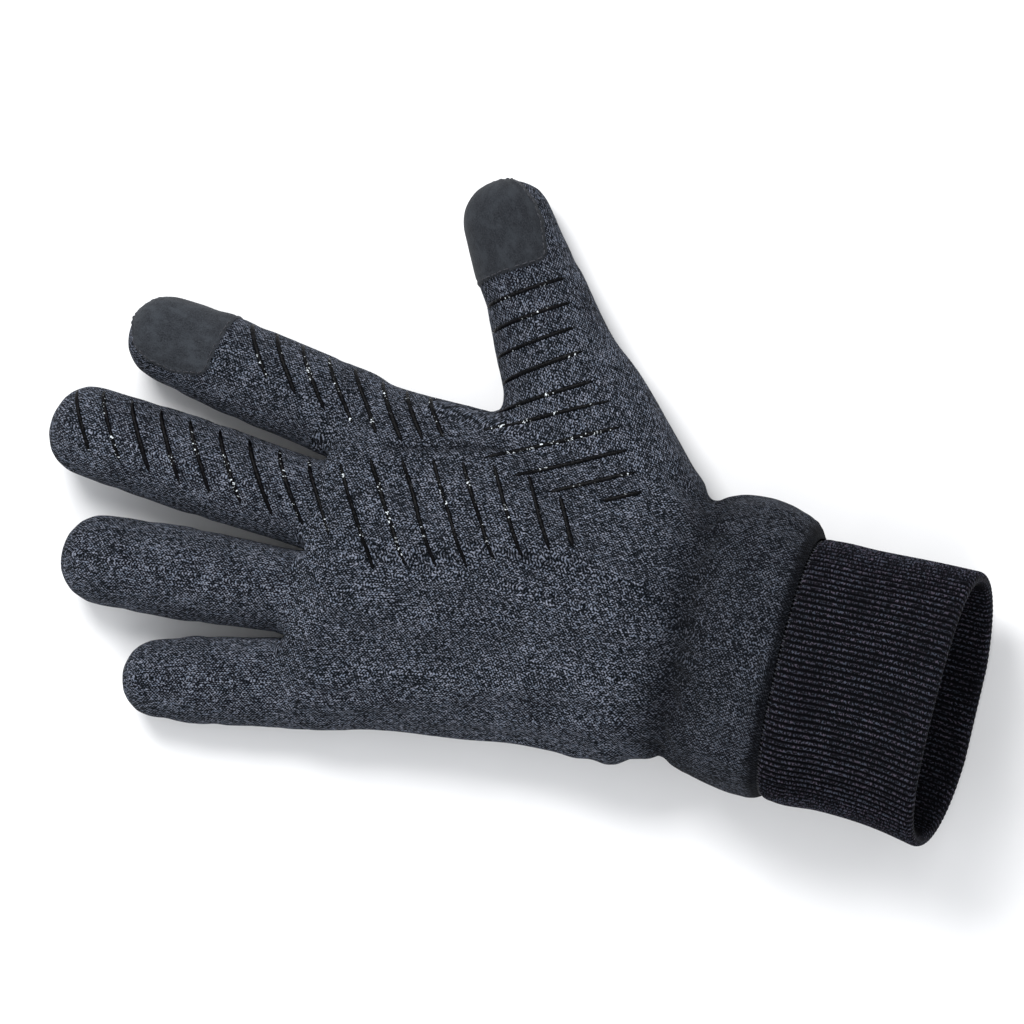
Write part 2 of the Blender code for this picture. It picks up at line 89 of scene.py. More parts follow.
# Length past the knuckle, widths at the knuckle, the middle and before the tip, heights at the
# knuckle and the tip, how much each side widens per mm behind the knuckle, and how far the centre
# line lies beside the middle of the hinge.
DIGIT_SIZES = {
    "index": (55.4, (25.8, 25.8, 23.0), (20.5, 18.5), 0.0, 0.5),
    "middle": (71.9, (24.2, 26.2, 25.0), (21.0, 19.5), 0.0, -0.3),
    "ring": (61.4, (23.2, 25.8, 24.6), (20.5, 19.0), 0.0, -0.5),
    "little": (38.6, (24.4, 24.0, 21.4), (18.5, 16.5), 0.0, -0.9),
    "thumb": (53.1, (33.4, 27.6, 22.9), (22.0, 20.6), 0.25, 1.6),
}
FINGER_NAMES = ("index", "middle", "ring", "little")
FINGER_ROOT = 17.0        # how far a finger's form reaches into the palm
THUMB_ROOT = 44.0

# x, low y, high y, bottom and top
HAND_STATIONS = (
    (-50.0, -58.0, 40.0, 2.5, 20.5),
    (-46.0, -58.3, 39.8, 0.0, 23.4),
    (-24.0, -53.6, 37.6, 0.0, 28.5),
    (0.0, -49.8, 37.6, 0.0, 32.5),
    (26.0, -48.9, 36.6, 0.0, 35.0),
    (46.0, -48.2, 34.4, 0.0, 36.5),
    (57.0, -44.2, 31.6, 0.0, 37.0),
    (66.0, -46.0, 33.6, 0.0, 43.0),
    (76.0, -47.3, 34.6, 0.0, 49.0),
    (84.0, -47.4, 31.6, 0.0, 50.4),
    (87.0, -45.4, 27.6, 0.3, 49.4),
    (89.5, -43.0, 23.8, 2.0, 46.6),
    (95.0, -41.0, 21.8, 4.0, 44.5),
)
SEAM_SHARE = 0.42         # side seams, as a share of the hand's height
WRIST_X = 57.0
PALM_SEAM = ((-33.0, 22.0), (-1.0, 28.6))   # where the index finger's panel meets the palm
BODY_END = 88.6

CUFF_STATIONS = (
    (87.6, -42.6, 23.2, 2.6, 46.0),
    (89.2, -44.2, 24.8, 1.2, 47.6),
    (92.0, -44.8, 25.2, 0.8, 48.4),
    (104.0, -44.3, 25.4, 0.8, 48.5),
    (120.0, -45.2, 26.0, 0.8, 48.5),
    (131.2, -47.4, 26.2, 0.8, 48.5),
)
CUFF_PLY = 3.2            # the folded rib, outside to inside
CUFF_SLANT = 4.4          # how much further the back of the mouth reaches than the palm side
RIB_PITCH = 1.62
RIB_RELIEF = 0.34

# The fingers' forms are moved apart by this much before the forms are joined, then moved back.
SPREAD = {"index": 6.0, "middle": 2.0, "ring": -2.0, "little": -6.0}
SPREAD_FROM = -44.0
SPREAD_TO = -56.0
VOXEL = 2.1
RELAX_STEP = 0.5
HAND_SIDES = 72
DIGIT_SIDES = 40
STITCH = 0.90             # length of one knit stitch
LEG = 0.60                # width of one leg of a stitch
WEB_CLEARANCE = 6.5       # bend zones start this far behind a knuckle, past the webs
LONGEST_BEND = 10.0
THUMB_BEND = (-2.0, 14.5)
WRIST_BEND = (44.0, 70.0)
WRIST_AXIS_Z = 18.0
FINGER_SIDE_ROOM = 8.0    # how far beside a digit its zones reach
THUMB_SIDE_ROOM = 3.5

# The gather round the wrist: y and z of its centre, and half its width and height
WRIST_CENTRE = (-6.0, 20.0)
WRIST_HALVES = (38.0, 22.0)
CLOTH_FRAMES = 18
CLOTH_CAP = 3.0           # furthest that the simulation may move a point
CLOTH_SETTINGS = {
    "quality": 6,
    "mass": 0.15,
    "tension_stiffness": 12.0,
    "compression_stiffness": 12.0,
    "shear_stiffness": 6.0,
    "bending_stiffness": 0.15,
    "use_pressure": True,
    "uniform_pressure_force": 3.0,
    "vertex_group_mass": "held",
    "vertex_group_shrink": "gathered",
    "shrink_min": -0.04,
    "shrink_max": 0.22,
}

STRIPE_RADIUS = 0.60
STRIPE_FLATNESS = 0.55
STRIPE_SINK = 0.05
STRIPE_STEPS = 26

PATCH_LIFT = 0.5
STITCH_INSET = 1.1        # from the patch's edge
STITCH_PITCH = 2.1
PATCH_THREAD = 0.17
PATCH_CORNER = 3.0
# Painted shade on each touch patch's suede, as a share of the painted shade tone
PATCH_PAINTED_SHADES = {"index": 0.0, "thumb": 0.22}   # the thumb's suede is darker
PATCH_LOW_EDGE = 0.18     # how low a patch reaches at a fingertip's side, as a share of its height
# Where a patch starts past the first hinge, how that edge leans, the side with a knit rim, and
# how far the patch reaches to that side at some distances past the hinge.
PATCH_EDGES = {
    "index": (27.0, -0.02, -1.0,
              ((27.0, 5.2), (37.0, 7.9), (45.0, 7.4), (50.0, 5.4), (54.0, 0.0), (55.4, -5.0))),
    "thumb": (26.6, -0.06, 1.0,
              ((27.0, 8.6), (37.0, 10.4), (43.0, 10.2), (48.5, 8.2), (53.5, 4.5))),
}

LINE_REACH = 90.0         # lines that look for the knit's surface start this far out
SEAM_STITCHES = 150
SEAM_X = 88.9
SEAM_THREAD = 0.2
ELASTIC_RADIUS = 0.5
ELASTIC_DEPTH = 0.8       # below the brushed face

TILT = math.radians(14.0)
ROLL = math.radians(13.5)
CAMERA_DISTANCE = 1.5
VIEW_WIDTH = 0.2744
AIM = (2.0, 12.9, 12.0)
SENSOR = 36.0
FLOOR_HALF = 6000.0
FLOOR_Z = -0.3
# Place, size and power of each light
LIGHTS = {
    "key": ((-0.35, 0.55, 0.75), 0.5, 10.5),
    "fill": ((0.45, -0.55, 0.7), 0.6, 3.5),
}
# Dark tone that the painted shade mixes into the knit and the suede
PAINTED_SHADE_TONE = (4, 5, 9)


# ---- small maths

def smooth(value):
    """Smooth step from 0 to 1."""
    value = np.clip(value, 0.0, 1.0)
    return value * value * (3.0 - 2.0 * value)


def rounded(value, exponent):
    """Superellipse form of a sine or cosine."""
    return np.sign(value) * np.abs(value) ** (2.0 / exponent)


def bump_at(value, centre, width):
    """Bell curve of height 1."""
    return np.exp(-((value - centre) / width) ** 2)


def hinge_point(name):
    """Where a hinge lies, in mm."""
    return np.array(JOINTS[name]["pos_m"]) / MM


def wavy(points, wavelength, seed):
    """Smooth noise about -1 to 1 from a few crossed waves, the same on every run."""
    random = np.random.default_rng(seed)
    total = np.zeros(len(points))
    count = 7
    for _ in range(count):
        axis = random.normal(size=3)
        axis /= np.linalg.norm(axis)
        pitch = wavelength * random.uniform(0.7, 1.5)
        total += np.sin(points @ axis * 2.0 * math.pi / pitch + random.uniform(0, 2 * math.pi))
    return total / math.sqrt(count)


def arc_length(angle, half_width, half_height):
    """Arc length round an ellipse up to an angle from its first half axis."""
    steps = 24
    total = np.zeros(len(angle))
    for step in range(steps):
        part = angle * (step + 0.5) / steps
        total += np.hypot(half_width * np.sin(part), half_height * np.cos(part))
    return total * angle / steps


def knit_grid(along, across, z, half_width, height, seam):
    """Knit coordinates: mm along, mm round from the middle of the palm side, and mm across.
    The count goes on down the sides, and below the side seams it runs back under the palm."""
    from_middle = np.where(z > seam, np.abs(across), 2.0 * half_width - np.abs(across))
    return np.stack([along, from_middle + height - z, across], axis=1)


# ---- fingers and thumb

class Digit:
    """A finger or the thumb: where it runs, and how big it is along the way."""

    def __init__(self, name, hinge_names):
        self.name = name
        self.length, self.widths, self.heights, self.growth, beside = DIGIT_SIZES[name]
        points = [hinge_point(hinge)[:2] for hinge in hinge_names]
        along = points[1] - points[0]
        self.along = along / np.linalg.norm(along)
        self.across = np.array([self.along[1], -self.along[0]])
        self.root = points[0] + self.across * beside
        self.hinges = [float((point - self.root) @ self.along) for point in points[1:]]
        self.dome_start = self.length - DOME_SHARE * self.widths[2]

    def size(self, distance):
        """Width and height at a distance past the first hinge."""
        marks = [0.0, 0.45 * self.length, self.dome_start]
        width = np.interp(distance, marks, self.widths)
        height = np.interp(distance, marks[::2], self.heights)
        behind = np.maximum(-np.asarray(distance, float), 0.0)
        return width + 2.0 * self.growth * behind, height + 0.4 * self.growth * behind

    def dome(self, distance):
        """How much of its size a round tip has left, from 1 to 0."""
        past = np.maximum(distance - self.dome_start, 0.0) / (self.length - self.dome_start)
        return np.sqrt(np.maximum(1.0 - past ** 2, 0.0))

    def ring(self, distance, angles, grow=0.0):
        """Points round the digit at a distance past its first hinge."""
        width, height = self.size(distance)
        dome = self.dome(distance)
        side = (width / 2.0 * dome + grow) * rounded(np.cos(angles), FINGER_SQUARENESS)
        lift = ((height + FLAT) / 2.0 * dome + grow) * rounded(np.sin(angles), FINGER_SQUARENESS)
        plan = self.root + self.along * distance
        points = np.empty((len(angles), 3))
        points[:, :2] = plan + np.outer(side, self.across)
        points[:, 2] = np.maximum((height - FLAT) / 2.0 + lift, 0.0)
        return points

    def place(self, points):
        """Distances along and across the digit of some points."""
        from_root = points[:, :2] - self.root
        return from_root @ self.along, from_root @ self.across

    def knit_place(self, points):
        """Knit coordinates: mm along the digit and round it."""
        along, across = self.place(points)
        width, height = self.size(along)
        return knit_grid(along, across, points[:, 2], width / 2.0, height, height / 2.0)

    def point(self, distance, across, z):
        """A point from its distances along and across the digit."""
        plan = self.root + self.along * distance + self.across * across
        return np.array([plan[0], plan[1], z])


def make_digits():
    """The four fingers and the thumb, placed by the frame's hinges."""
    digits = {}
    for name in FINGER_NAMES:
        digits[name] = Digit(name, [f"{name}_knuckle", f"{name}_middle_bend", f"{name}_tip_bend"])
    digits["thumb"] = Digit("thumb", ["thumb_base_bend", "thumb_tip_bend"])
    return digits


DIGITS = make_digits()


# ---- bend zones

def hand_size(x, column):
    """One column of the hand's stations at x."""
    return np.interp(x, [row[0] for row in HAND_STATIONS], [row[column] for row in HAND_STATIONS])


def make_zones():
    """Stretches of the shell, each across one hinge, with the bodies on its two sides and its start and
    end.
    """
    wrist = {
        "bodies": ("hand", "cuff"),
        "start": (WRIST_BEND[0], 0.0, WRIST_AXIS_Z), "end": (WRIST_BEND[1], 0.0, WRIST_AXIS_Z),
    }
    zones = [{"name": "hand", "digit": None, **wrist}]
    for name, digit in DIGITS.items():
        segments = ["proximal", "tip"] if name == "thumb" else ["proximal", "middle", "tip"]
        hinges = [0.0, *digit.hinges]
        gaps = np.diff(hinges) / 2.0
        before = "hand"
        for number, segment in enumerate(segments):
            near = [gap for gap in (gaps[number - 1] if number else None,
                                    gaps[number] if number < len(gaps) else None) if gap]
            reach = min(min(near), LONGEST_BEND) - 0.05
            low, high = hinges[number] - reach, hinges[number] + reach
            if number == 0:
                low = THUMB_BEND[0] if name == "thumb" else -WEB_CLEARANCE
                high = min(digit.hinges[0] - reach, THUMB_BEND[1]) if name == "thumb" else high
            height = float(digit.size(hinges[number])[1]) / 2.0
            zones.append({
                "name": f"{name}_{segment}", "digit": name,
                "bodies": (before, f"{name}_{segment}"), "low": low, "high": high,
                "start": tuple(digit.point(low, 0.0, height)),
                "end": tuple(digit.point(high, 0.0, height)),
            })
            before = f"{name}_{segment}"
    zones.append({"name": "thumb_base", "digit": "thumb", **wrist})
    return zones


ZONES = make_zones()
THUMB_BASE = len(ZONES) - 1


def zone_of(points):
    """Number of the bend zone that each point belongs to."""
    zone = np.zeros(len(points), int)
    best = np.full(len(points), 1e9)
    for name, digit in DIGITS.items():
        along, across = digit.place(points)
        half = digit.size(along)[0] / 2.0
        first = next(number for number, item in enumerate(ZONES) if item["digit"] == name)
        inside = along > ZONES[first]["low"]
        room = THUMB_SIDE_ROOM if name == "thumb" else FINGER_SIDE_ROOM
        inside &= np.abs(across) < half + room
        off_axis = np.abs(across) - half
        inside &= off_axis < best
        best[inside] = off_axis[inside]
        zone[inside] = first
        number = first
        while number + 1 < THUMB_BASE and ZONES[number + 1]["digit"] == name:
            border = (ZONES[number]["high"] + ZONES[number + 1]["low"]) / 2.0
            zone[inside & (along > border)] = number + 1
            number += 1
    beside = points[:, 1] > hand_size(points[:, 0], 2) - 5.0
    along, _ = DIGITS["thumb"].place(points)
    zone[(zone == 0) & beside & (along > -THUMB_ROOT - 4.0) & (points[:, 0] > -26.0)] = THUMB_BASE
    return zone


# ---- mesh helpers

def mesh_object(name, points, faces):
    """New object from points in mm and faces."""
    mesh = bpy.data.meshes.new(name)
    mesh.from_pydata((np.asarray(points) * MM).tolist(), [], [list(face) for face in faces])
    mesh.update()
    item = bpy.data.objects.new(name, mesh)
    bpy.context.scene.collection.objects.link(item)
    return item


def read(items, key, width, kind=float):
    """One property of every item of a mesh, as rows."""
    values = np.empty(len(items) * width, kind)
    items.foreach_get(key, values)
    return values.reshape(-1, width)


def mesh_points(mesh):
    """A mesh's points in mm."""
    return read(mesh.vertices, "co", 3) / MM


def set_points(mesh, points):
    """Move a mesh's points, in mm."""
    mesh.vertices.foreach_set("co", (points * MM).ravel())
    mesh.update()


def mesh_normals(mesh):
    """A mesh's smooth point normals."""
    return read(mesh.vertex_normals, "vector", 3, np.float32).astype(float)


def mesh_faces(mesh):
    """A mesh's faces as tuples of point numbers."""
    return [tuple(face.vertices) for face in mesh.polygons]


def loft(rings, closed=True):
    """Points and faces of a skin over rings of equal length, with fans over closed ends."""
    count = len(rings[0])
    points = [point for ring in rings for point in ring]
    faces = []
    for row in range(len(rings) - 1):
        low = row * count
        high = low + count
        for step in range(count):
            after = (step + 1) % count
            faces.append((low + step, low + after, high + after, high + step))
    for ring, turned in ((0, True), (len(rings) - 1, False)) if closed else ():
        centre = len(points)
        points.append(np.mean(rings[ring], axis=0))
        low = ring * count
        for step in range(count):
            face = (low + step, low + (step + 1) % count, centre)
            faces.append(face[::-1] if turned else face)
    return np.array(points), faces


def gather(meshes):
    """Several (points, faces) as one."""
    points, faces = [], []
    offset = 0
    for mesh_part, face_part in meshes:
        points.append(mesh_part)
        faces += [tuple(number + offset for number in face) for face in face_part]
        offset += len(mesh_part)
    return np.vstack(points), faces


def path_marks(path):
    """Distance along a path up to each of its points."""
    steps = np.linalg.norm(np.diff(path, axis=0), axis=1)
    return np.concatenate([[0.0], np.cumsum(steps)])


def only_used(count, faces):
    """Numbers of the points that the faces use, and the faces renumbered to just those."""
    used = np.unique(np.concatenate(faces))
    renumber = np.full(count, -1)
    renumber[used] = np.arange(len(used))
    return used, [[int(renumber[corner]) for corner in face] for face in faces]


def apply_modifiers(item):
    """Give the item its modified mesh, and empty it of modifiers."""
    graph = bpy.context.evaluated_depsgraph_get()
    graph.update()
    mesh = bpy.data.meshes.new_from_object(item.evaluated_get(graph))
    item.modifiers.clear()
    item.data = mesh


def relax(mesh, rounds):
    """Smooth a mesh without shrinking it much: a step in, then a slightly larger step out."""
    points = mesh_points(mesh)
    edges = read(mesh.edges, "vertices", 2, int)
    count = np.bincount(edges.ravel(), minlength=len(points))[:, None]
    for _ in range(rounds):
        for step in (RELAX_STEP, -RELAX_STEP * 1.03):
            total = np.zeros_like(points)
            np.add.at(total, edges[:, 0], points[edges[:, 1]])
            np.add.at(total, edges[:, 1], points[edges[:, 0]])
            points += step * (total / np.maximum(count, 1) - points)
    set_points(mesh, points)


def dress(item, *kinds):
    """Give an item smooth shading and its materials."""
    item.data.polygons.foreach_set("use_smooth", [True] * len(item.data.polygons))
    for kind in kinds:
        item.data.materials.append(MATERIALS[kind])


def store(mesh, name, values):
    """Store a vector or a number for each point."""
    values = np.asarray(values, np.float32)
    kind, key = ("FLOAT_VECTOR", "vector") if values.ndim == 2 else ("FLOAT", "value")
    mesh.attributes.new(name, kind, "POINT").data.foreach_set(key, values.ravel())


# ---- the knitted shell

def between(stations, x):
    """Row of a station table at x, eased between its stations."""
    table = np.array(stations)
    marks = table[:, 0]
    slopes = np.gradient(table, marks, axis=0)
    number = int(np.clip(np.searchsorted(marks, x) - 1, 0, len(marks) - 2))
    step = marks[number + 1] - marks[number]
    share = (x - marks[number]) / step
    square, cube = share ** 2, share ** 3
    row = ((2 * cube - 3 * square + 1) * table[number]
           + (cube - 2 * square + share) * step * slopes[number]
           + (3 * square - 2 * cube) * table[number + 1]
           + (cube - square) * step * slopes[number + 1])
    row[0] = x
    return row


def hand_ring(x, angles):
    """Points round the hand at x."""
    _, low, high, bottom, top = between(HAND_STATIONS, x)
    exponent = HAND_SQUARENESS - 0.25 * float(smooth((x - WRIST_X) / 20.0))
    side = rounded(np.cos(angles), exponent)
    lift = rounded(np.sin(angles), exponent)
    seam = bottom + (top - bottom) * (SEAM_SHARE + 0.06 * float(smooth((x - WRIST_X) / 20.0)))
    points = np.empty((len(angles), 3))
    points[:, 0] = x
    points[:, 1] = (low + high) / 2.0 + (high - low) / 2.0 * side
    upper = seam + (top - seam) * lift
    lower = np.maximum(seam + (seam - bottom + FLAT) * lift, bottom)
    points[:, 2] = np.where(lift >= 0.0, upper, lower)
    return points


def gap_edges(x):
    """For each neighbouring pair of fingers, the two edges of the gap between them at x."""
    edges = []
    for upper, lower in zip(FINGER_NAMES[:-1], FINGER_NAMES[1:]):
        pair = []
        for name, side in ((lower, 1.0), (upper, -1.0)):
            digit = DIGITS[name]
            slope = digit.along[1] / digit.along[0]
            centre = digit.root[1] + (x - digit.root[0]) * slope
            pair.append(centre + side * digit.widths[0] / 2.0 / abs(digit.along[0]))
        edges.append(pair)
    return edges


def spread_share(x):
    """How far the fingers are moved apart at x, from 0 to 1."""
    return smooth((SPREAD_FROM - x) / (SPREAD_FROM - SPREAD_TO))


def spread_values(points, undo):
    """Sideways shift that opens the gaps between the fingers, or closes them again."""
    share = spread_share(points[:, 0])
    edges = gap_edges(points[:, 0])
    shift = np.full(len(points), SPREAD["index"])
    y = points[:, 1]
    pairs = list(zip(FINGER_NAMES[:-1], FINGER_NAMES[1:], edges))
    for upper, lower, (low_edge, high_edge) in pairs:
        low = low_edge + (share * SPREAD[lower] if undo else 0.0)
        high = high_edge + (share * SPREAD[upper] if undo else 0.0)
        middle = (low + high) / 2.0
        half = np.maximum((high - low) / 2.0, 0.2) * np.clip((points[:, 0] + 60.0) / 6.0, 0.1, 1.0)
        across = np.clip((y - middle + half) / (2.0 * half), 0.0, 1.0)
        here = SPREAD[lower] + (SPREAD[upper] - SPREAD[lower]) * across
        shift = np.where(y < middle + half, here, shift)
    return share * shift * (-1.0 if undo else 1.0)


def body_forms():
    """Overlapping closed forms of the palm, the fingers and the thumb, fingers moved apart."""
    angles = np.linspace(0.0, 2.0 * math.pi, HAND_SIDES, endpoint=False)
    stations = np.concatenate([np.arange(-50.0, 56.0, 3.0), np.arange(56.0, 95.1, 1.5)])
    hand, faces = loft([hand_ring(x, angles) for x in stations])
    hand[:, 1] += spread_values(hand, undo=False)
    forms = [(hand, [face[::-1] for face in faces])]
    angles = np.linspace(0.0, 2.0 * math.pi, DIGIT_SIDES, endpoint=False)
    for name, digit in DIGITS.items():
        back = THUMB_ROOT if name == "thumb" else FINGER_ROOT
        straight = np.arange(-back, digit.dome_start, 2.0)
        turn = np.linspace(0.0, 0.485 * math.pi, 10)
        tip = digit.dome_start + (digit.length - digit.dome_start) * np.sin(turn)
        points, faces = loft([digit.ring(s, angles) for s in (*straight, *tip)])
        if name in SPREAD:
            points[:, 1] += SPREAD[name] * spread_share(points[:, 0])
        forms.append((points, faces))
    return forms


def make_body():
    """One closed coarse surface over all the forms, fingers back in place."""
    body = mesh_object("knit_body", *gather(body_forms()))
    remesh = body.modifiers.new("union", "REMESH")
    remesh.mode = "VOXEL"
    remesh.voxel_size = VOXEL * MM
    apply_modifiers(body)
    relax(body.data, 6)
    placed = mesh_points(body.data)
    placed[:, 1] += spread_values(placed, undo=True)
    set_points(body.data, placed)
    return body


def settle_cloth(body):
    """Blow the fabric of the palm and wrist out a little and gather it at the wrist ring."""
    rest = mesh_points(body.data)
    thumb_along, _ = DIGITS["thumb"].place(rest)
    held = np.clip((-36.0 - rest[:, 0]) / 10.0, 0.0, 1.0)
    held = np.maximum(held, np.clip((thumb_along + 16.0) / 14.0, 0.0, 1.0))
    held = np.maximum(held, np.clip((rest[:, 0] - 84.0) / 3.0, 0.0, 1.0))
    gathered = bump_at(rest[:, 0], WRIST_X + 1.0, 4.0)
    pins = body.vertex_groups.new(name="held")
    ring = body.vertex_groups.new(name="gathered")
    for number in range(len(rest)):
        pins.add([number], float(held[number]), "REPLACE")
        ring.add([number], float(gathered[number]), "REPLACE")
    cloth = body.modifiers.new("cloth", "CLOTH")
    for key, value in CLOTH_SETTINGS.items():
        setattr(cloth.settings, key, value)
    cloth.settings.effector_weights.gravity = 0.0
    cloth.point_cache.frame_start = 1
    cloth.point_cache.frame_end = CLOTH_FRAMES
    for number in range(1, CLOTH_FRAMES + 1):
        bpy.context.scene.frame_set(number)
    apply_modifiers(body)
    bpy.context.scene.frame_set(1)
    moved = mesh_points(body.data) - rest
    length = np.linalg.norm(moved, axis=1, keepdims=True)
    moved *= CLOTH_CAP * np.tanh(length / CLOTH_CAP) / np.maximum(length, 1e-6)
    set_points(body.data, rest + moved)
    body.vertex_groups.clear()


def wrist_angle(points):
    """Angle round the wrist of some points, from the thumb side over the palm."""
    up = (points[:, 2] - WRIST_CENTRE[1]) / WRIST_HALVES[1]
    return np.arctan2(up, (points[:, 1] - WRIST_CENTRE[0]) / WRIST_HALVES[0])


def gather_line(angle, wander):
    """Where the wrist's gather lies along x, by the angle round the wrist."""
    return WRIST_X + 2.0 * np.sin(angle - 0.4) + 1.2 * wander


def seam_nearness(points):
    """How near each point is to the palm's seam, from 0 to 1."""
    start, end = np.array(PALM_SEAM)
    line = end - start
    share = np.clip((points[:, :2] - start) @ line / (line @ line), 0.0, 1.0)
    beside = points[:, :2] - start - share[:, None] * line
    distance = np.hypot(beside[:, 0], beside[:, 1])
    return np.where(points[:, 2] > 14.0, bump_at(distance, 0.0, 0.8), 0.0)


def fold_relief(points):
    """How far the fabric stands in or out of the plain form, mm."""
    x, y = points[:, 0], points[:, 1]
    angle = wrist_angle(points)
    arc = arc_length(angle, *WRIST_HALVES)
    wander = wavy(points, 26.0, 3)
    ring_x = gather_line(angle, wander)
    relief = -1.5 * bump_at(x, ring_x, 3.4) * (0.8 + 0.25 * np.sin(3.0 * angle + 0.6))
    pleats = np.cos(2.0 * math.pi * arc / 8.6 + 1.6 * wander)
    relief += 0.55 * pleats * bump_at(x, ring_x + 2.0, 6.0)
    drag = np.cos(2.0 * math.pi * (y * 0.80 + x * 0.45) / 7.0 + 1.1 * wander)
    low_side = smooth((-12.0 - y) / 22.0) * bump_at(x, 48.0, 13.0)
    high_side = smooth((y - 6.0) / 20.0) * bump_at(x, 50.0, 9.0)
    relief += 0.5 * drag * (low_side + 0.8 * high_side)
    relief += 0.7 * bump_at(x, 82.5, 4.2) * (0.6 + 0.4 * wavy(points, 22.0, 9))
    body_share = smooth((x + 52.0) / 14.0)
    relief += 0.45 * wavy(points, 34.0, 5) * body_share
    relief += 0.10 * wavy(points, 14.0, 6)
    relief -= 0.5 * seam_nearness(points)
    return relief * (1.0 - 0.9 * smooth((x - 85.5) / 2.5))


def finger_folds(points):
    """Soft creases across the fingers where they bend."""
    relief = np.zeros(len(points))
    for digit in DIGITS.values():
        along, across = digit.place(points)
        near = np.abs(across) < digit.size(along)[0] / 2.0 + 2.0
        near &= along > -4.0
        for number, hinge in enumerate(digit.hinges):
            lean = 0.12 * across * (-1.0) ** number
            crease = -0.16 * bump_at(along, hinge + lean, 2.2)
            crease += 0.10 * bump_at(along, hinge + lean - 4.6, 3.0)
            crease += 0.10 * bump_at(along, hinge + lean + 4.8, 3.0)
            relief += np.where(near, crease, 0.0)
    return relief


def make_shell():
    """The fine outer surface of the knit, open at the cuff."""
    body = make_body()
    settle_cloth(body)
    cut = bmesh.new()
    cut.from_mesh(body.data)
    everything = cut.verts[:] + cut.edges[:] + cut.faces[:]
    bmesh.ops.bisect_plane(cut, geom=everything, plane_co=(BODY_END * MM, 0.0, 0.0),
                           plane_no=(1.0, 0.0, 0.0), clear_outer=True)
    cut.to_mesh(body.data)
    cut.free()
    finer = body.modifiers.new("finer", "SUBSURF")
    finer.levels = 2
    finer.render_levels = 2
    apply_modifiers(body)
    points = mesh_points(body.data)
    relief = fold_relief(points) + finger_folds(points)
    points += mesh_normals(body.data) * relief[:, None]
    points[:, 2] = np.maximum(points[:, 2], 0.0)
    set_points(body.data, points)
    return body


# ---- materials

def linear(level):
    """Linear value of a screen brightness from 0 to 255."""
    share = level / 255.0
    return share / 12.92 if share <= 0.04045 else ((share + 0.055) / 1.055) ** 2.4


def tone(red, green, blue):
    """Linear colour from a screen colour."""
    return (linear(red), linear(green), linear(blue), 1.0)


class Nodes:
    """Short way to build a material's nodes."""

    def __init__(self, name):
        self.material = bpy.data.materials.new(name)
        self.material.use_nodes = True
        self.tree = self.material.node_tree
        self.shader = self.tree.nodes["Principled BSDF"]

    def add(self, kind, **settings):
        """New node with some of its settings."""
        node = self.tree.nodes.new(kind)
        for key, value in settings.items():
            setattr(node, key, value)
        return node

    def put(self, socket, value):
        """Link a socket, or set a plain value."""
        if isinstance(value, bpy.types.NodeSocket):
            self.tree.links.new(value, socket)
        else:
            socket.default_value = value

    def maths(self, operation, first, second=0.0, third=0.0):
        """One sum."""
        node = self.add("ShaderNodeMath", operation=operation)
        for socket, value in zip(node.inputs, (first, second, third)):
            self.put(socket, value)
        return node.outputs[0]

    def ramp(self, value, low, high, result_low=0.0, result_high=1.0):
        """A value mapped smoothly from one range to another."""
        node = self.add("ShaderNodeMapRange", interpolation_type="SMOOTHSTEP")
        for socket, number in zip(node.inputs, (value, low, high, result_low, result_high)):
            self.put(socket, number)
        return node.outputs[0]

    def mix(self, share, first, second):
        """Two colours mixed."""
        node = self.add("ShaderNodeMix", data_type="RGBA")
        self.put(node.inputs[0], share)
        self.put(node.inputs[6], first)
        self.put(node.inputs[7], second)
        return node.outputs[2]

    def knit(self):
        """The knit coordinates, as one vector and as its parts."""
        position = self.add("ShaderNodeAttribute", attribute_name="knit").outputs["Vector"]
        parts = self.add("ShaderNodeSeparateXYZ")
        self.put(parts.inputs[0], position)
        return position, *parts.outputs

    def with_painted_shade(self, colour):
        """A colour darkened by the painted shade stored on the mesh."""
        shade = self.add("ShaderNodeAttribute", attribute_name="shade").outputs["Fac"]
        return self.mix(shade, colour, tone(*PAINTED_SHADE_TONE))

    def object_noise(self, scale, detail=1.0):
        """Noise value of the place in the object."""
        return self.noise(self.add("ShaderNodeTexCoord").outputs["Object"], scale, detail)

    def join(self, x, y, z=0.0):
        """A vector from its parts."""
        node = self.add("ShaderNodeCombineXYZ")
        for socket, value in zip(node.inputs, (x, y, z)):
            self.put(socket, value)
        return node.outputs[0]

    def noise(self, vector, scale, detail=1.0, roughness=0.5):
        """Noise value of a vector."""
        node = self.add("ShaderNodeTexNoise")
        self.put(node.inputs["Vector"], vector)
        node.inputs["Scale"].default_value = scale
        node.inputs["Detail"].default_value = detail
        node.inputs["Roughness"].default_value = roughness
        return node.outputs["Fac"]

    def bump(self, height, distance):
        """Bump that stands out by a distance in mm where the height is 1."""
        node = self.add("ShaderNodeBump")
        node.inputs["Strength"].default_value = 1.0
        node.inputs["Distance"].default_value = distance * MM
        self.put(node.inputs["Height"], height)
        return node.outputs[0]

    def finish(self, colour, roughness, specular, normal=None, sheen=0.0):
        """Set the shader and give the material."""
        self.put(self.shader.inputs["Base Color"], colour)
        self.put(self.shader.inputs["Roughness"], roughness)
        if normal is not None:
            self.put(self.shader.inputs["Normal"], normal)
        self.shader.inputs["Sheen Weight"].default_value = sheen
        self.shader.inputs["Sheen Roughness"].default_value = 0.5
        self.shader.inputs["Specular IOR Level"].default_value = specular
        return self.material


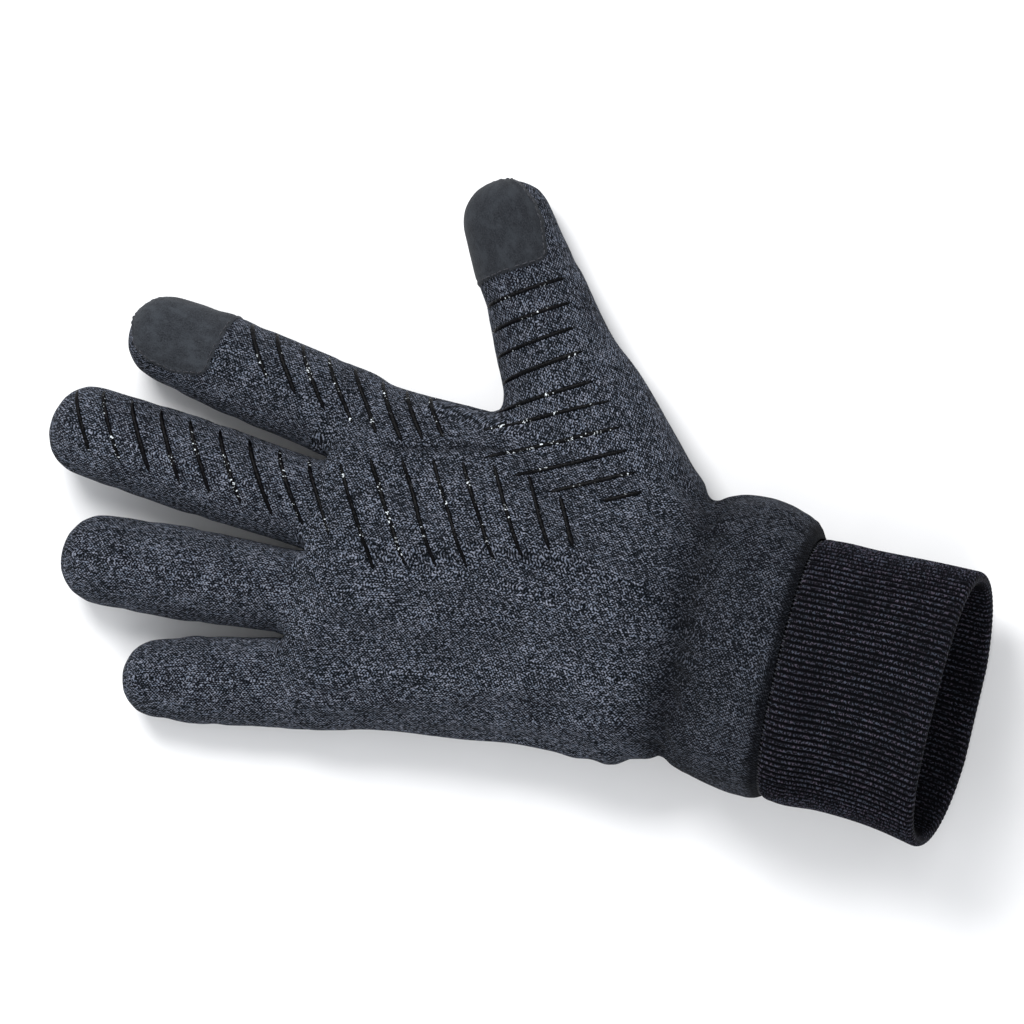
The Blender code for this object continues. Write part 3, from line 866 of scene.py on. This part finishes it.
def knit_material():
    """Heather jersey: V stitches, each leg a paler or darker yarn, in soft lighter and darker areas,
    with painted shade in the grooves between the legs and in the creases.
    """
    n = Nodes("heather_knit")
    position, along, around, aside = n.knit()
    wander = n.noise(position, 0.35)
    loose_around = n.maths("MULTIPLY_ADD", wander, 1.5, around)
    half_wale = n.maths("PINGPONG", loose_around, LEG)
    row = n.maths("MULTIPLY_ADD", half_wale, 1.25, n.maths("MULTIPLY", along, 1.0 / STITCH))
    leg = n.maths("MULTIPLY", around, 1.0 / LEG)
    yarn = n.maths("COSINE", n.maths("MULTIPLY", row, 2.0 * math.pi))
    # painted shade: fewer pale flecks at the edges of the legs, where the grooves between them lie
    groove_shade = n.maths("COSINE", n.maths("MULTIPLY", loose_around, 2.0 * math.pi / LEG))
    fleck = n.noise(n.join(n.maths("MULTIPLY", row, 0.95), leg, aside), 1.0, roughness=0.65)
    fibre = n.noise(n.join(n.maths("MULTIPLY", row, 2.1), n.maths("MULTIPLY", leg, 1.6), aside),
                    1.0, 2.0, 0.7)
    patches = n.noise(position, 0.10, 3.0, 0.6)
    tint = n.noise(position, 0.8, 2.0)
    biased = n.maths("ADD", fleck, n.ramp(patches, 0.3, 0.7, -0.03, 0.025))
    biased = n.maths("MULTIPLY_ADD", yarn, 0.12, biased)
    biased = n.maths("MULTIPLY_ADD", groove_shade, 0.08, biased)
    pale_share = n.ramp(biased, 0.48, 0.71)
    fibre_share = n.ramp(fibre, 0.46, 0.78)
    amount = n.maths("MULTIPLY_ADD", fibre_share, 0.22, n.maths("MULTIPLY", pale_share, 0.98))
    pale = n.mix(n.ramp(tint, 0.35, 0.65), tone(103, 111, 126), tone(124, 128, 141))
    # painted shade from the stored shade
    colour = n.with_painted_shade(n.mix(amount, tone(3, 6, 10), pale))
    height = n.maths("ADD", pale_share, n.maths("MULTIPLY", fibre_share, 0.5))
    return n.finish(colour, 0.95, 0.06, n.bump(height, 0.25), sheen=0.01)


def lining_material():
    """Brushed inside of the knit."""
    n = Nodes("brushed_lining")
    fuzz = n.noise(n.knit()[0], 1.7, 4.0, 0.7)
    colour = n.mix(n.ramp(fuzz, 0.35, 0.7), tone(13, 14, 19), tone(40, 41, 50))
    return n.finish(colour, 0.95, 0.1, n.bump(fuzz, 0.3), sheen=0.06)


def rib_material():
    """Rib knit, nearly black with faint grey flecks on the ribs and painted shade in the valleys between
    them.
    """
    n = Nodes("rib_knit")
    _, along, around, _ = n.knit()
    wave = n.maths("COSINE", n.maths("MULTIPLY", around, 2.0 * math.pi / RIB_PITCH))
    crest = n.ramp(wave, -0.7, 0.8)
    strokes = n.noise(n.join(n.maths("MULTIPLY", along, 2.1), n.maths("MULTIPLY", around, 1.7)), 1.0)
    patches = n.noise(n.join(along, around), 0.13, 2.0)
    flecks = n.maths("MULTIPLY", n.ramp(strokes, 0.46, 0.62), crest)
    flecks = n.maths("MULTIPLY", flecks, n.ramp(patches, 0.3, 0.7, 0.45, 0.95))
    tint = n.noise(n.join(along, around, 4.0), 0.8)
    pale = n.mix(n.ramp(tint, 0.4, 0.65), tone(64, 68, 80), tone(76, 70, 82))
    # painted shade: the valleys between the ribs are darker than the crests
    base = n.mix(crest, tone(3, 3, 6), tone(10, 11, 15))
    colour = n.mix(flecks, base, pale)
    return n.finish(colour, 0.92, 0.06, n.bump(strokes, 0.2), sheen=0.01)


def suede_material():
    """Fine conductive suede, with lighter clouds that are partly scuffs and partly painted sheen, and
    painted shade where the mesh stores it.
    """
    n = Nodes("touch_suede")
    position = n.knit()[0]
    grain = n.noise(position, 2.4, 3.0, 0.75)
    sheen_and_scuff = n.noise(position, 0.25, 3.0, 0.6)
    colour = n.mix(n.ramp(grain, 0.3, 0.72), tone(24, 26, 30), tone(50, 53, 58))
    # lighter clouds, partly scuffs and partly painted sheen; then the stored painted shade
    colour = n.with_painted_shade(n.mix(n.ramp(sheen_and_scuff, 0.4, 0.72, 0.0, 0.55), colour, tone(56, 60, 65)))
    return n.finish(colour, 0.9, 0.12, n.bump(grain, 0.12), sheen=0.04)


def silicone_material():
    """Printed silicone: black beads with a few painted glints, pale specks that stand for highlights."""
    n = Nodes("grip_silicone")
    position = n.knit()[0]
    lumps = n.noise(position, 0.8)
    # painted glints: pale specks in a few clusters along the beads
    specks = n.ramp(n.noise(position, 1.1), 0.62, 0.67)
    some = n.ramp(n.noise(position, 0.11), 0.52, 0.59)
    painted_glints = n.maths("MULTIPLY", specks, some)
    colour = n.mix(n.ramp(lumps, 0.4, 0.7), tone(1, 1, 2), tone(6, 6, 9))
    colour = n.mix(painted_glints, colour, tone(205, 212, 216))
    return n.finish(colour, 0.45, 0.06, n.bump(lumps, 0.3))


def thread_material():
    """Twisted sewing thread."""
    n = Nodes("seam_thread")
    twist = n.object_noise(2600.0)
    colour = n.mix(n.ramp(twist, 0.35, 0.65), tone(14, 15, 20), tone(48, 50, 58))
    return n.finish(colour, 0.6, 0.35, n.bump(twist, 0.1), sheen=0.1)


def elastic_material():
    """Rubber core elastic with a woven cover."""
    n = Nodes("elastic_cord")
    weave = n.object_noise(1900.0)
    colour = n.mix(n.ramp(weave, 0.35, 0.65), tone(40, 40, 44), tone(90, 90, 96))
    return n.finish(colour, 0.8, 0.3, n.bump(weave, 0.15))


def floor_material():
    """Pale matt floor with a trace of grain."""
    n = Nodes("pale_floor")
    grain = n.object_noise(40.0, 2.0)
    colour = n.mix(n.ramp(grain, 0.3, 0.7), (0.86, 0.86, 0.865, 1.0), (0.88, 0.88, 0.885, 1.0))
    return n.finish(colour, 0.8, 0.2)


MATERIALS = {
    "knit": knit_material(),
    "lining": lining_material(),
    "rib": rib_material(),
    "suede": suede_material(),
    "silicone": silicone_material(),
    "thread": thread_material(),
    "elastic": elastic_material(),
}


# ---- pieces cut into the knit's zones

def knit_coordinates(zone, points):
    """Knit coordinates of points in one zone."""
    name = ZONES[zone]["digit"]
    if name is not None:
        return DIGITS[name].knit_place(points)
    x, y, z = points.T
    low, high, top = (hand_size(x, column) for column in (1, 2, 4))
    return knit_grid(x, y - (low + high) / 2.0, z, (high - low) / 2.0, top, top * SEAM_SHARE)


def split_to_zones(name, points, faces, face_zone, kinds,
                   face_kind=None, normals=None, numbers=None):
    """Cut a surface into its bend zones. Gives {zone: object}."""
    pieces = {}
    face_kind = np.zeros(len(faces), int) if face_kind is None else face_kind
    for zone in sorted(set(face_zone.tolist())):
        chosen = np.flatnonzero(face_zone == zone)
        used, piece_faces = only_used(len(points), [faces[number] for number in chosen])
        item = mesh_object(f"{ZONES[zone]['name']}_{name}", points[used], piece_faces)
        dress(item, *kinds)
        item.data.polygons.foreach_set("material_index", face_kind[chosen].astype(np.int32))
        store(item.data, "knit", knit_coordinates(zone, points[used]))
        for key, values in (numbers or {}).items():
            store(item.data, key, values[used])
        if normals is not None:
            item.data.normals_split_custom_set_from_vertices(normals[used].tolist())
        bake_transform(item)
        pieces[zone] = item
    return pieces


def shade_values(points):
    """How much darker the knit is painted, from 0 to 1: painted shade in the wrist's gather, past the
    wrist, under the roll at the cuff seam and along the palm's seam, and darker over the thumb side of
    the palm near the fingers.
    """
    x = points[:, 0]
    ring_x = gather_line(wrist_angle(points), wavy(points, 26.0, 3))
    # painted shade in the wrist's gather
    shade = 0.40 * bump_at(x, ring_x - 2.0, 8.0)
    # painted shade over the bulge past the wrist, towards the cuff
    shade += 0.48 * smooth((x - 50.0) / 14.0)
    # painted shadow under the roll at the cuff seam
    shade += 0.45 * smooth((x - 84.8) / 3.0)
    # darker over the thumb side of the palm, near the fingers
    shade += 0.14 * smooth((points[:, 1] - 10.0) / 14.0) * smooth((4.0 - x) / 12.0)
    # painted shade along the groove of the palm's seam
    shade += 0.5 * seam_nearness(points)
    return np.clip(shade, 0.0, 0.9)


def make_knit_pieces(shell):
    """The knit with its brushed inside, cut into bend zones."""
    outer = mesh_points(shell.data)
    outer_normals = mesh_normals(shell.data)
    outer_faces = mesh_faces(shell.data)
    inner = outer - outer_normals * FABRIC
    inner_faces = [tuple(number + len(outer) for number in face[::-1]) for face in outer_faces]
    zones = zone_of(read(shell.data.polygons, "center", 3) / MM)
    points = np.vstack([outer, inner])
    normals = np.vstack([outer_normals, -outer_normals])
    kinds = np.repeat([0, 1], len(outer_faces))
    # painted shade on the knit's outside only; the brushed inside gets none
    shade = np.concatenate([shade_values(outer), np.zeros(len(inner))])
    pieces = split_to_zones("knit", points, outer_faces + inner_faces, np.tile(zones, 2),
                            ("knit", "lining"), kinds, normals, {"shade": shade})
    for zone, item in pieces.items():
        name = ZONES[zone]["name"]
        if name == "hand":
            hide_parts("palm_panel", "back_panel", "wrist_section")
        elif name == "thumb_base":
            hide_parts("thumb_base")
        else:
            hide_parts(f"{name}_sleeve")


# ---- rib cuff

def cuff_ring(x, angles, shrink, relief):
    """Points round the cuff at x, with its ribs."""
    _, low, high, bottom, top = between(CUFF_STATIONS, x)
    half_width = (high - low) / 2.0 - shrink
    half_height = (top - bottom + FLAT) / 2.0 - shrink
    side = rounded(np.cos(angles), FINGER_SQUARENESS)
    lift = rounded(np.sin(angles), FINGER_SQUARENESS)
    y = (low + high) / 2.0 + half_width * side
    z = np.maximum((bottom + top - FLAT) / 2.0 + half_height * lift, bottom + shrink)
    ring = np.stack([np.full(len(angles), x), y, z], axis=1)
    ahead = np.roll(ring, -1, axis=0) - np.roll(ring, 1, axis=0)
    outward = np.stack([np.zeros(len(angles)), ahead[:, 2], -ahead[:, 1]], axis=1)
    outward /= np.linalg.norm(outward, axis=1, keepdims=True)
    return ring + outward * relief[:, None]


def even_angles(count):
    """Angles that lie evenly along the cuff's outline, and the outline's length."""
    fine = np.linspace(0.0, 2.0 * math.pi, 4001)
    arc = path_marks(cuff_ring(110.0, fine, 0.0, np.zeros(len(fine))))
    return np.interp(np.arange(count) / count * arc[-1], arc, fine), arc[-1]


def make_cuff():
    """The folded rib cuff: outside, rounded hem at the mouth, and inside."""
    _, outline = even_angles(10)
    ribs = int(round(outline / RIB_PITCH))
    per_rib = 6
    angles, _ = even_angles(ribs * per_rib)
    around = np.arange(len(angles)) / len(angles) * ribs * RIB_PITCH
    wave = np.cos(around * 2.0 * math.pi / RIB_PITCH)
    half = CUFF_PLY / 2.0
    first = CUFF_STATIONS[0][0]
    last = CUFF_STATIONS[-1][0]
    profile = [(x, 0.0, 1.0) for x in np.linspace(first, last - half, 40)]
    for turn in np.linspace(0.0, math.pi, 9)[1:-1]:
        profile.append((last - half + half * math.sin(turn), half - half * math.cos(turn),
                        0.75 * abs(math.cos(turn)) + 0.25))
    profile += [(x, CUFF_PLY, 0.8) for x in np.linspace(last - half, first + 0.5, 28)]
    rings = []
    knit = []
    along = 0.0
    for number, (x, shrink, strength) in enumerate(profile):
        start = smooth((x - first) / 3.0)
        swell = 0.5 * np.sin(angles * 2.0 + x * 0.05) * smooth((x - first) / 20.0)
        ring = cuff_ring(x, angles, shrink, RIB_RELIEF * wave * strength * start - 0.2)
        near_mouth = smooth((x - last + 14.0) / 14.0)
        ring[:, 0] += 0.25 * swell * near_mouth
        below_top = 1.0 - ring[:, 2] / CUFF_STATIONS[-1][4]
        ring[:, 0] += CUFF_SLANT * below_top ** 2 * near_mouth
        if number:
            along += abs(x - profile[number - 1][0]) + abs(shrink - profile[number - 1][1])
        rings.append(ring)
        knit.append(np.stack([np.full(len(angles), along), around, np.zeros(len(angles))], axis=1))
    points, faces = loft(rings, closed=False)
    faces = [face[::-1] for face in faces]
    cuff = mesh_object("rib_cuff_knit", points, faces)
    dress(cuff, "rib")
    store(cuff.data, "knit", np.vstack(knit))
    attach(cuff, "cuff")
    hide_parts("rib_cuff")


# ---- tubes, beads and stitches

def tube(path, radii, sides, flat, ups):
    """Points and faces of a closed tube along a path; it is flattened along the up directions."""
    path = np.asarray(path, float)
    ahead = np.gradient(path, axis=0)
    ahead /= np.linalg.norm(ahead, axis=1, keepdims=True)
    side = np.cross(np.asarray(ups, float), ahead)
    side /= np.linalg.norm(side, axis=1, keepdims=True)
    lift = np.cross(ahead, side)
    angles = np.linspace(0.0, 2.0 * math.pi, sides, endpoint=False)
    rings = []
    for centre, across, up, radius in zip(path, side, lift, radii):
        ring = centre + radius * (np.outer(np.cos(angles), across)
                                  + flat * np.outer(np.sin(angles), up))
        rings.append(ring)
    return loft(rings)


class Surface:
    """The finished knit surface, to lay details on."""

    def __init__(self, shell):
        points = mesh_points(shell.data)
        self.tree = BVHTree.FromPolygons([Vector(point) for point in points],
                                         mesh_faces(shell.data))

    def meet(self, lines):
        """Points and normals where lines from outside to inside first meet the knit."""
        path, ups = [], []
        for outside, inside in lines:
            line = Vector(inside) - Vector(outside)
            hit, normal, _, _ = self.tree.ray_cast(Vector(outside), line.normalized(), line.length)
            if hit is not None:
                path.append(np.array(hit))
                ups.append(np.array(normal))
        return path, ups


def plan_path(surface, start, end):
    """Points and normals on the palm below a straight line of the plan."""
    lines = []
    for share in np.linspace(0.0, 1.0, STRIPE_STEPS):
        x, y = np.asarray(start) * (1.0 - share) + np.asarray(end) * share
        lines.append(((x, y, LINE_REACH), (x, y, 2.0)))
    return surface.meet(lines)


def centres_of(points, faces):
    """Centre of each face."""
    return np.array([points[list(face)].mean(axis=0) for face in faces])


def stripe(path, ups, seed):
    """One printed bead with round ends and slightly uneven width."""
    path = np.asarray(path) + np.asarray(ups) * STRIPE_SINK
    random = np.random.default_rng(seed)
    share = np.linspace(-1.0, 1.0, len(path))
    radii = STRIPE_RADIUS * np.sqrt(np.maximum(1.0 - share ** 8, 0.02))
    radii *= 1.0 + 0.10 * random.normal(size=len(path)).cumsum() / math.sqrt(len(path))
    return tube(path, radii, 8, STRIPE_FLATNESS, ups)


def slanted_stripes(surface, digit, count, first, pitch, edge, widths, slants):
    """Stripes that start at a digit's thumb side and slant towards the hand as they cross it."""
    found = []
    for number in range(count):
        share = number / (count - 1)
        width = np.interp(share, np.linspace(0.0, 1.0, len(widths)), widths)
        slant = np.interp(share, (0.0, 1.0), slants)
        distance = first - pitch * number
        start = digit.point(distance, edge, 0.0)
        end = digit.point(distance - slant * width, edge - width, 0.0)
        found.append(plan_path(surface, start[:2], end[:2]))
    return found


def palm_stripes(surface):
    """Long diagonal stripes over the palm."""
    found = []
    count = 8
    for number in range(count):
        start = np.array([np.interp(number, (0, 5, 7), (-44.6, -1.8, 18.0)),
                          np.interp(number, (0, 1, 3, 5, 6, 7), (15.0, 18.2, 21.9, 24.0, 23.5, 19.8))])
        length = np.interp(number, (0, 3, 5, 6, 7), (31.0, 31.5, 26.5, 22.0, 14.5))
        end = start + length * np.array([0.55, -0.835])
        found.append(plan_path(surface, start, end))
    return found


def thumb_stripes(surface):
    """Cross stripes of the thumb, carried on over its ball."""
    digit = DIGITS["thumb"]
    found = []
    for number in range(10):
        distance = np.interp(number, (0, 4, 5, 9), (21.4, -6.6, -10.8, -40.8))
        low = np.interp(number, (0, 3, 5, 6, 7, 8, 9),
                        (-14.0, -17.0, -22.9, -24.5, -18.6, -11.0, 2.0))
        high = np.interp(number, (0, 2, 4, 5, 9), (10.8, 8.8, 9.2, 12.0, 12.4))
        lean = np.interp(number, (0, 3, 5, 9), (0.04, 0.02, 0.14, 0.13))
        start = digit.point(distance, low, 0.0)
        end = digit.point(distance - lean * (high - low), high, 0.0)
        found.append(plan_path(surface, start[:2], end[:2]))
    return found


def make_stripes(surface):
    """All the printed grip stripes, cut into the zones of the knit below them."""
    groups = {
        "index": slanted_stripes(surface, DIGITS["index"], 8, 22.8, 7.87, 12.8,
                                 (12.0, 14.3, 14.6, 8.5), (1.0, 1.2)),
        "middle": slanted_stripes(surface, DIGITS["middle"], 9, 67.5, 8.77, 11.6, (16.5, 17.5),
                                  (0.70, 0.85)),
        "palm": palm_stripes(surface),
        "thumb": thumb_stripes(surface),
    }
    beads = []
    seed = 20
    for paths in groups.values():
        for path, ups in paths:
            if len(path) > 5:
                beads.append(stripe(path, ups, seed))
            seed += 1
    points, faces = gather(beads)
    zones = zone_of(centres_of(points, faces))
    pieces = split_to_zones("grip_stripes", points, faces, zones, ("silicone",))
    stood_for = {}
    for name in [name for name in frame["nodes"] if name.startswith("grip_stripe_")]:
        stood_for.setdefault(stripe_zone(name, pieces), []).append(name)
    for zone, nodes in stood_for.items():
        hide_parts(*nodes)


def stripe_zone(name, made):
    """Zone, out of those made, whose stripes stand for a frame stripe."""
    low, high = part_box(name)
    here = int(zone_of(np.array([(low + high) / 2.0]) / MM)[0])
    body = frame["nodes"][name]["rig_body"]
    sharing = [number for number in made if body in ZONES[number]["bodies"]]
    return here if here in sharing else sharing[-1]


# ---- touch patches

def patch_depth(digit, points):
    """How far inside the patch each point lies, mm; negative is outside."""
    along, across = digit.place(points)
    start, lean, rim_side, reach = PATCH_EDGES[digit.name]
    front = along - (start + lean * across)
    limit = np.interp(along, [mark for mark, _ in reach], [value for _, value in reach])
    side = limit - rim_side * across
    least = PATCH_LOW_EDGE + 0.28 * smooth((along - digit.dome_start) / 8.0)
    height = points[:, 2] - least * digit.size(along)[1]
    from_corner = np.hypot(np.maximum(PATCH_CORNER - front, 0.0),
                           np.maximum(PATCH_CORNER - side, 0.0))
    corner = np.where((front < PATCH_CORNER) & (side < PATCH_CORNER),
                      PATCH_CORNER - from_corner, np.minimum(front, side))
    return np.minimum(corner, height)


def make_patch(shell, name):
    """Raised suede over the palm side of a fingertip, with a stitched edge."""
    digit = DIGITS[name]
    points = mesh_points(shell.data)
    normals = mesh_normals(shell.data)
    faces = mesh_faces(shell.data)
    own = [number for number, zone in enumerate(ZONES[:THUMB_BASE]) if zone["digit"] == name]
    depth = np.where(np.isin(zone_of(points), own), patch_depth(digit, points), -9.0)
    inside = [face for face in faces if min(depth[list(face)]) > 0.0]
    used, kept = only_used(len(points), inside)
    lift = PATCH_LIFT * smooth(depth[used] / 1.2) + 0.05
    lift -= 0.22 * bump_at(depth[used], 1.9, 0.45)
    raised = points[used] + normals[used] * lift[:, None]
    zones = zone_of(centres_of(raised, kept))
    # painted shade: the thumb's patch is painted darker
    shade = np.full(len(raised), PATCH_PAINTED_SHADES[name])
    pieces = split_to_zones("touch_patch", raised, kept, zones, ("suede",),
                            numbers={"shade": shade})
    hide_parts(f"{name}_touch_patch")
    sewn = np.abs(depth[used] - STITCH_INSET) < 0.35
    make_patch_stitches(digit, raised[sewn], normals[used][sewn])


def make_patch_stitches(digit, points, normals):
    """Small stitches along a patch's edge, from loose points that lie along it."""
    along, across = digit.place(points)
    turn = np.arctan2(across - across.mean(), along - along.mean())
    order = np.argsort(turn)
    bins = np.linspace(-math.pi, math.pi, 90)
    path, ups = [], []
    for low, high in zip(bins[:-1], bins[1:]):
        here = order[(turn[order] >= low) & (turn[order] < high)]
        if len(here):
            path.append(points[here].mean(axis=0))
            ups.append(normals[here].mean(axis=0))
    path, ups = np.array(path), np.array(ups)
    arc = path_marks(path)
    stitches = []
    for middle in np.arange(1.0, arc[-1] - 1.0, STITCH_PITCH):
        marks = middle + STITCH_PITCH * np.array([-0.34, -0.18, 0.0, 0.18, 0.34])
        line, up = (np.stack([np.interp(marks, arc, column) for column in values.T], axis=1)
                    for values in (path, ups))
        up /= np.linalg.norm(up, axis=1, keepdims=True)
        line += up * np.array([-0.12, 0.08, 0.14, 0.08, -0.12])[:, None]
        stitches.append(tube(line, np.full(5, PATCH_THREAD), 6, 1.0, up))
    points, faces = gather(stitches)
    zones = zone_of(centres_of(points, faces))
    split_to_zones("patch_stitches", points, faces, zones, ("thread",))


# ---- seams

def make_wrist_elastic(surface):
    """Elastic ring inside the wrist's gathers, just under the brushed face."""
    centre = np.array([WRIST_X + 1.0, -6.0, 18.5])
    lines = []
    for angle in np.linspace(0.0, 2.0 * math.pi, 97):
        outside = centre + LINE_REACH * np.array([0.0, math.cos(angle), math.sin(angle)])
        lines.append((outside, centre))
    face, ups = surface.meet(lines)
    path = [point - up * (FABRIC + ELASTIC_DEPTH) for point, up in zip(face, ups)]
    points, faces = tube(path, np.full(len(path), ELASTIC_RADIUS), 8, 1.0, ups)
    ring = mesh_object("wrist_elastic_cord", points, faces)
    dress(ring, "elastic")
    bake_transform(ring)
    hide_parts("wrist_elastic")


def make_cuff_seam():
    """Overlock stitches where the knit is sewn to the cuff."""
    angles, _ = even_angles(SEAM_STITCHES)
    ring = cuff_ring(SEAM_X, angles, 0.4, np.zeros(SEAM_STITCHES))
    stitches = []
    for number in range(SEAM_STITCHES):
        here = ring[number] + np.array([-0.9, 0.0, 0.0])
        there = ring[(number + 1) % SEAM_STITCHES] * 0.5 + ring[number] * 0.5 + np.array([1.1, 0.0, 0.0])
        centre = np.array([here[0], -10.0, 24.0])
        out = (here - centre) / np.linalg.norm(here - centre)
        path = [here - out * 0.3, here * 0.7 + there * 0.3 + out * 0.25,
                here * 0.3 + there * 0.7 + out * 0.25, there - out * 0.3]
        stitches.append(tube(path, [SEAM_THREAD] * 4, 6, 1.0, [out] * 4))
    points, faces = gather(stitches)
    seam = mesh_object("cuff_seam_stitches", points, faces)
    dress(seam, "thread")
    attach(seam, "cuff")
    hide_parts("cuff_seam_thread")


# ---- stage

def add_camera():
    """Camera over the palm, tilted to the cuff and rolled so the fingers point left and up."""
    across = Vector((math.cos(TILT), 0.0, -math.sin(TILT)))
    side = Vector((0.0, 1.0, 0.0))
    right = math.cos(ROLL) * across + math.sin(ROLL) * side
    up = -math.sin(ROLL) * across + math.cos(ROLL) * side
    back = right.cross(up)
    camera = bpy.data.objects.new("camera", bpy.data.cameras.new("camera"))
    bpy.context.scene.collection.objects.link(camera)
    rotation = Matrix((right, up, back)).transposed().to_4x4()
    target = Vector(AIM) * MM
    camera.matrix_world = Matrix.Translation(target + back * CAMERA_DISTANCE) @ rotation
    camera.data.sensor_width = SENSOR
    camera.data.lens = SENSOR * CAMERA_DISTANCE / VIEW_WIDTH
    camera.data.clip_start = 0.05
    camera.data.clip_end = 20.0
    bpy.context.scene.camera = camera


def add_area_light(name, place, size, power):
    """Soft square light aimed at the glove."""
    light = bpy.data.objects.new(name, bpy.data.lights.new(name, "AREA"))
    light.data.shape = "SQUARE"
    light.data.size = size
    light.data.energy = power
    light.location = place
    light.rotation_euler = (-Vector(place)).to_track_quat("-Z", "Y").to_euler()
    bpy.context.scene.collection.objects.link(light)


def add_stage():
    """Pale floor, pale surround and soft lights."""
    turns = ((-1, -1), (1, -1), (1, 1), (-1, 1))
    corners = [(x * FLOOR_HALF, y * FLOOR_HALF, FLOOR_Z) for x, y in turns]
    floor = mesh_object("floor", corners, [(0, 1, 2, 3)])
    floor.data.materials.append(floor_material())
    world = bpy.data.worlds.new("studio")
    world.use_nodes = True
    background = world.node_tree.nodes["Background"]
    background.inputs["Color"].default_value = (0.95, 0.97, 1.0, 1.0)
    background.inputs["Strength"].default_value = 0.72
    bpy.context.scene.world = world
    bpy.context.scene.view_settings.view_transform = "Standard"
    for name, (place, size, power) in LIGHTS.items():
        add_area_light(name, place, size, power)


# ---- assembly

def main():
    """Dress the frame."""
    shell = make_shell()
    surface = Surface(shell)
    make_knit_pieces(shell)
    make_cuff()
    make_cuff_seam()
    make_wrist_elastic(surface)
    make_stripes(surface)
    make_patch(shell, "index")
    make_patch(shell, "thumb")
    bpy.data.objects.remove(shell)
    add_camera()
    add_stage()


main()
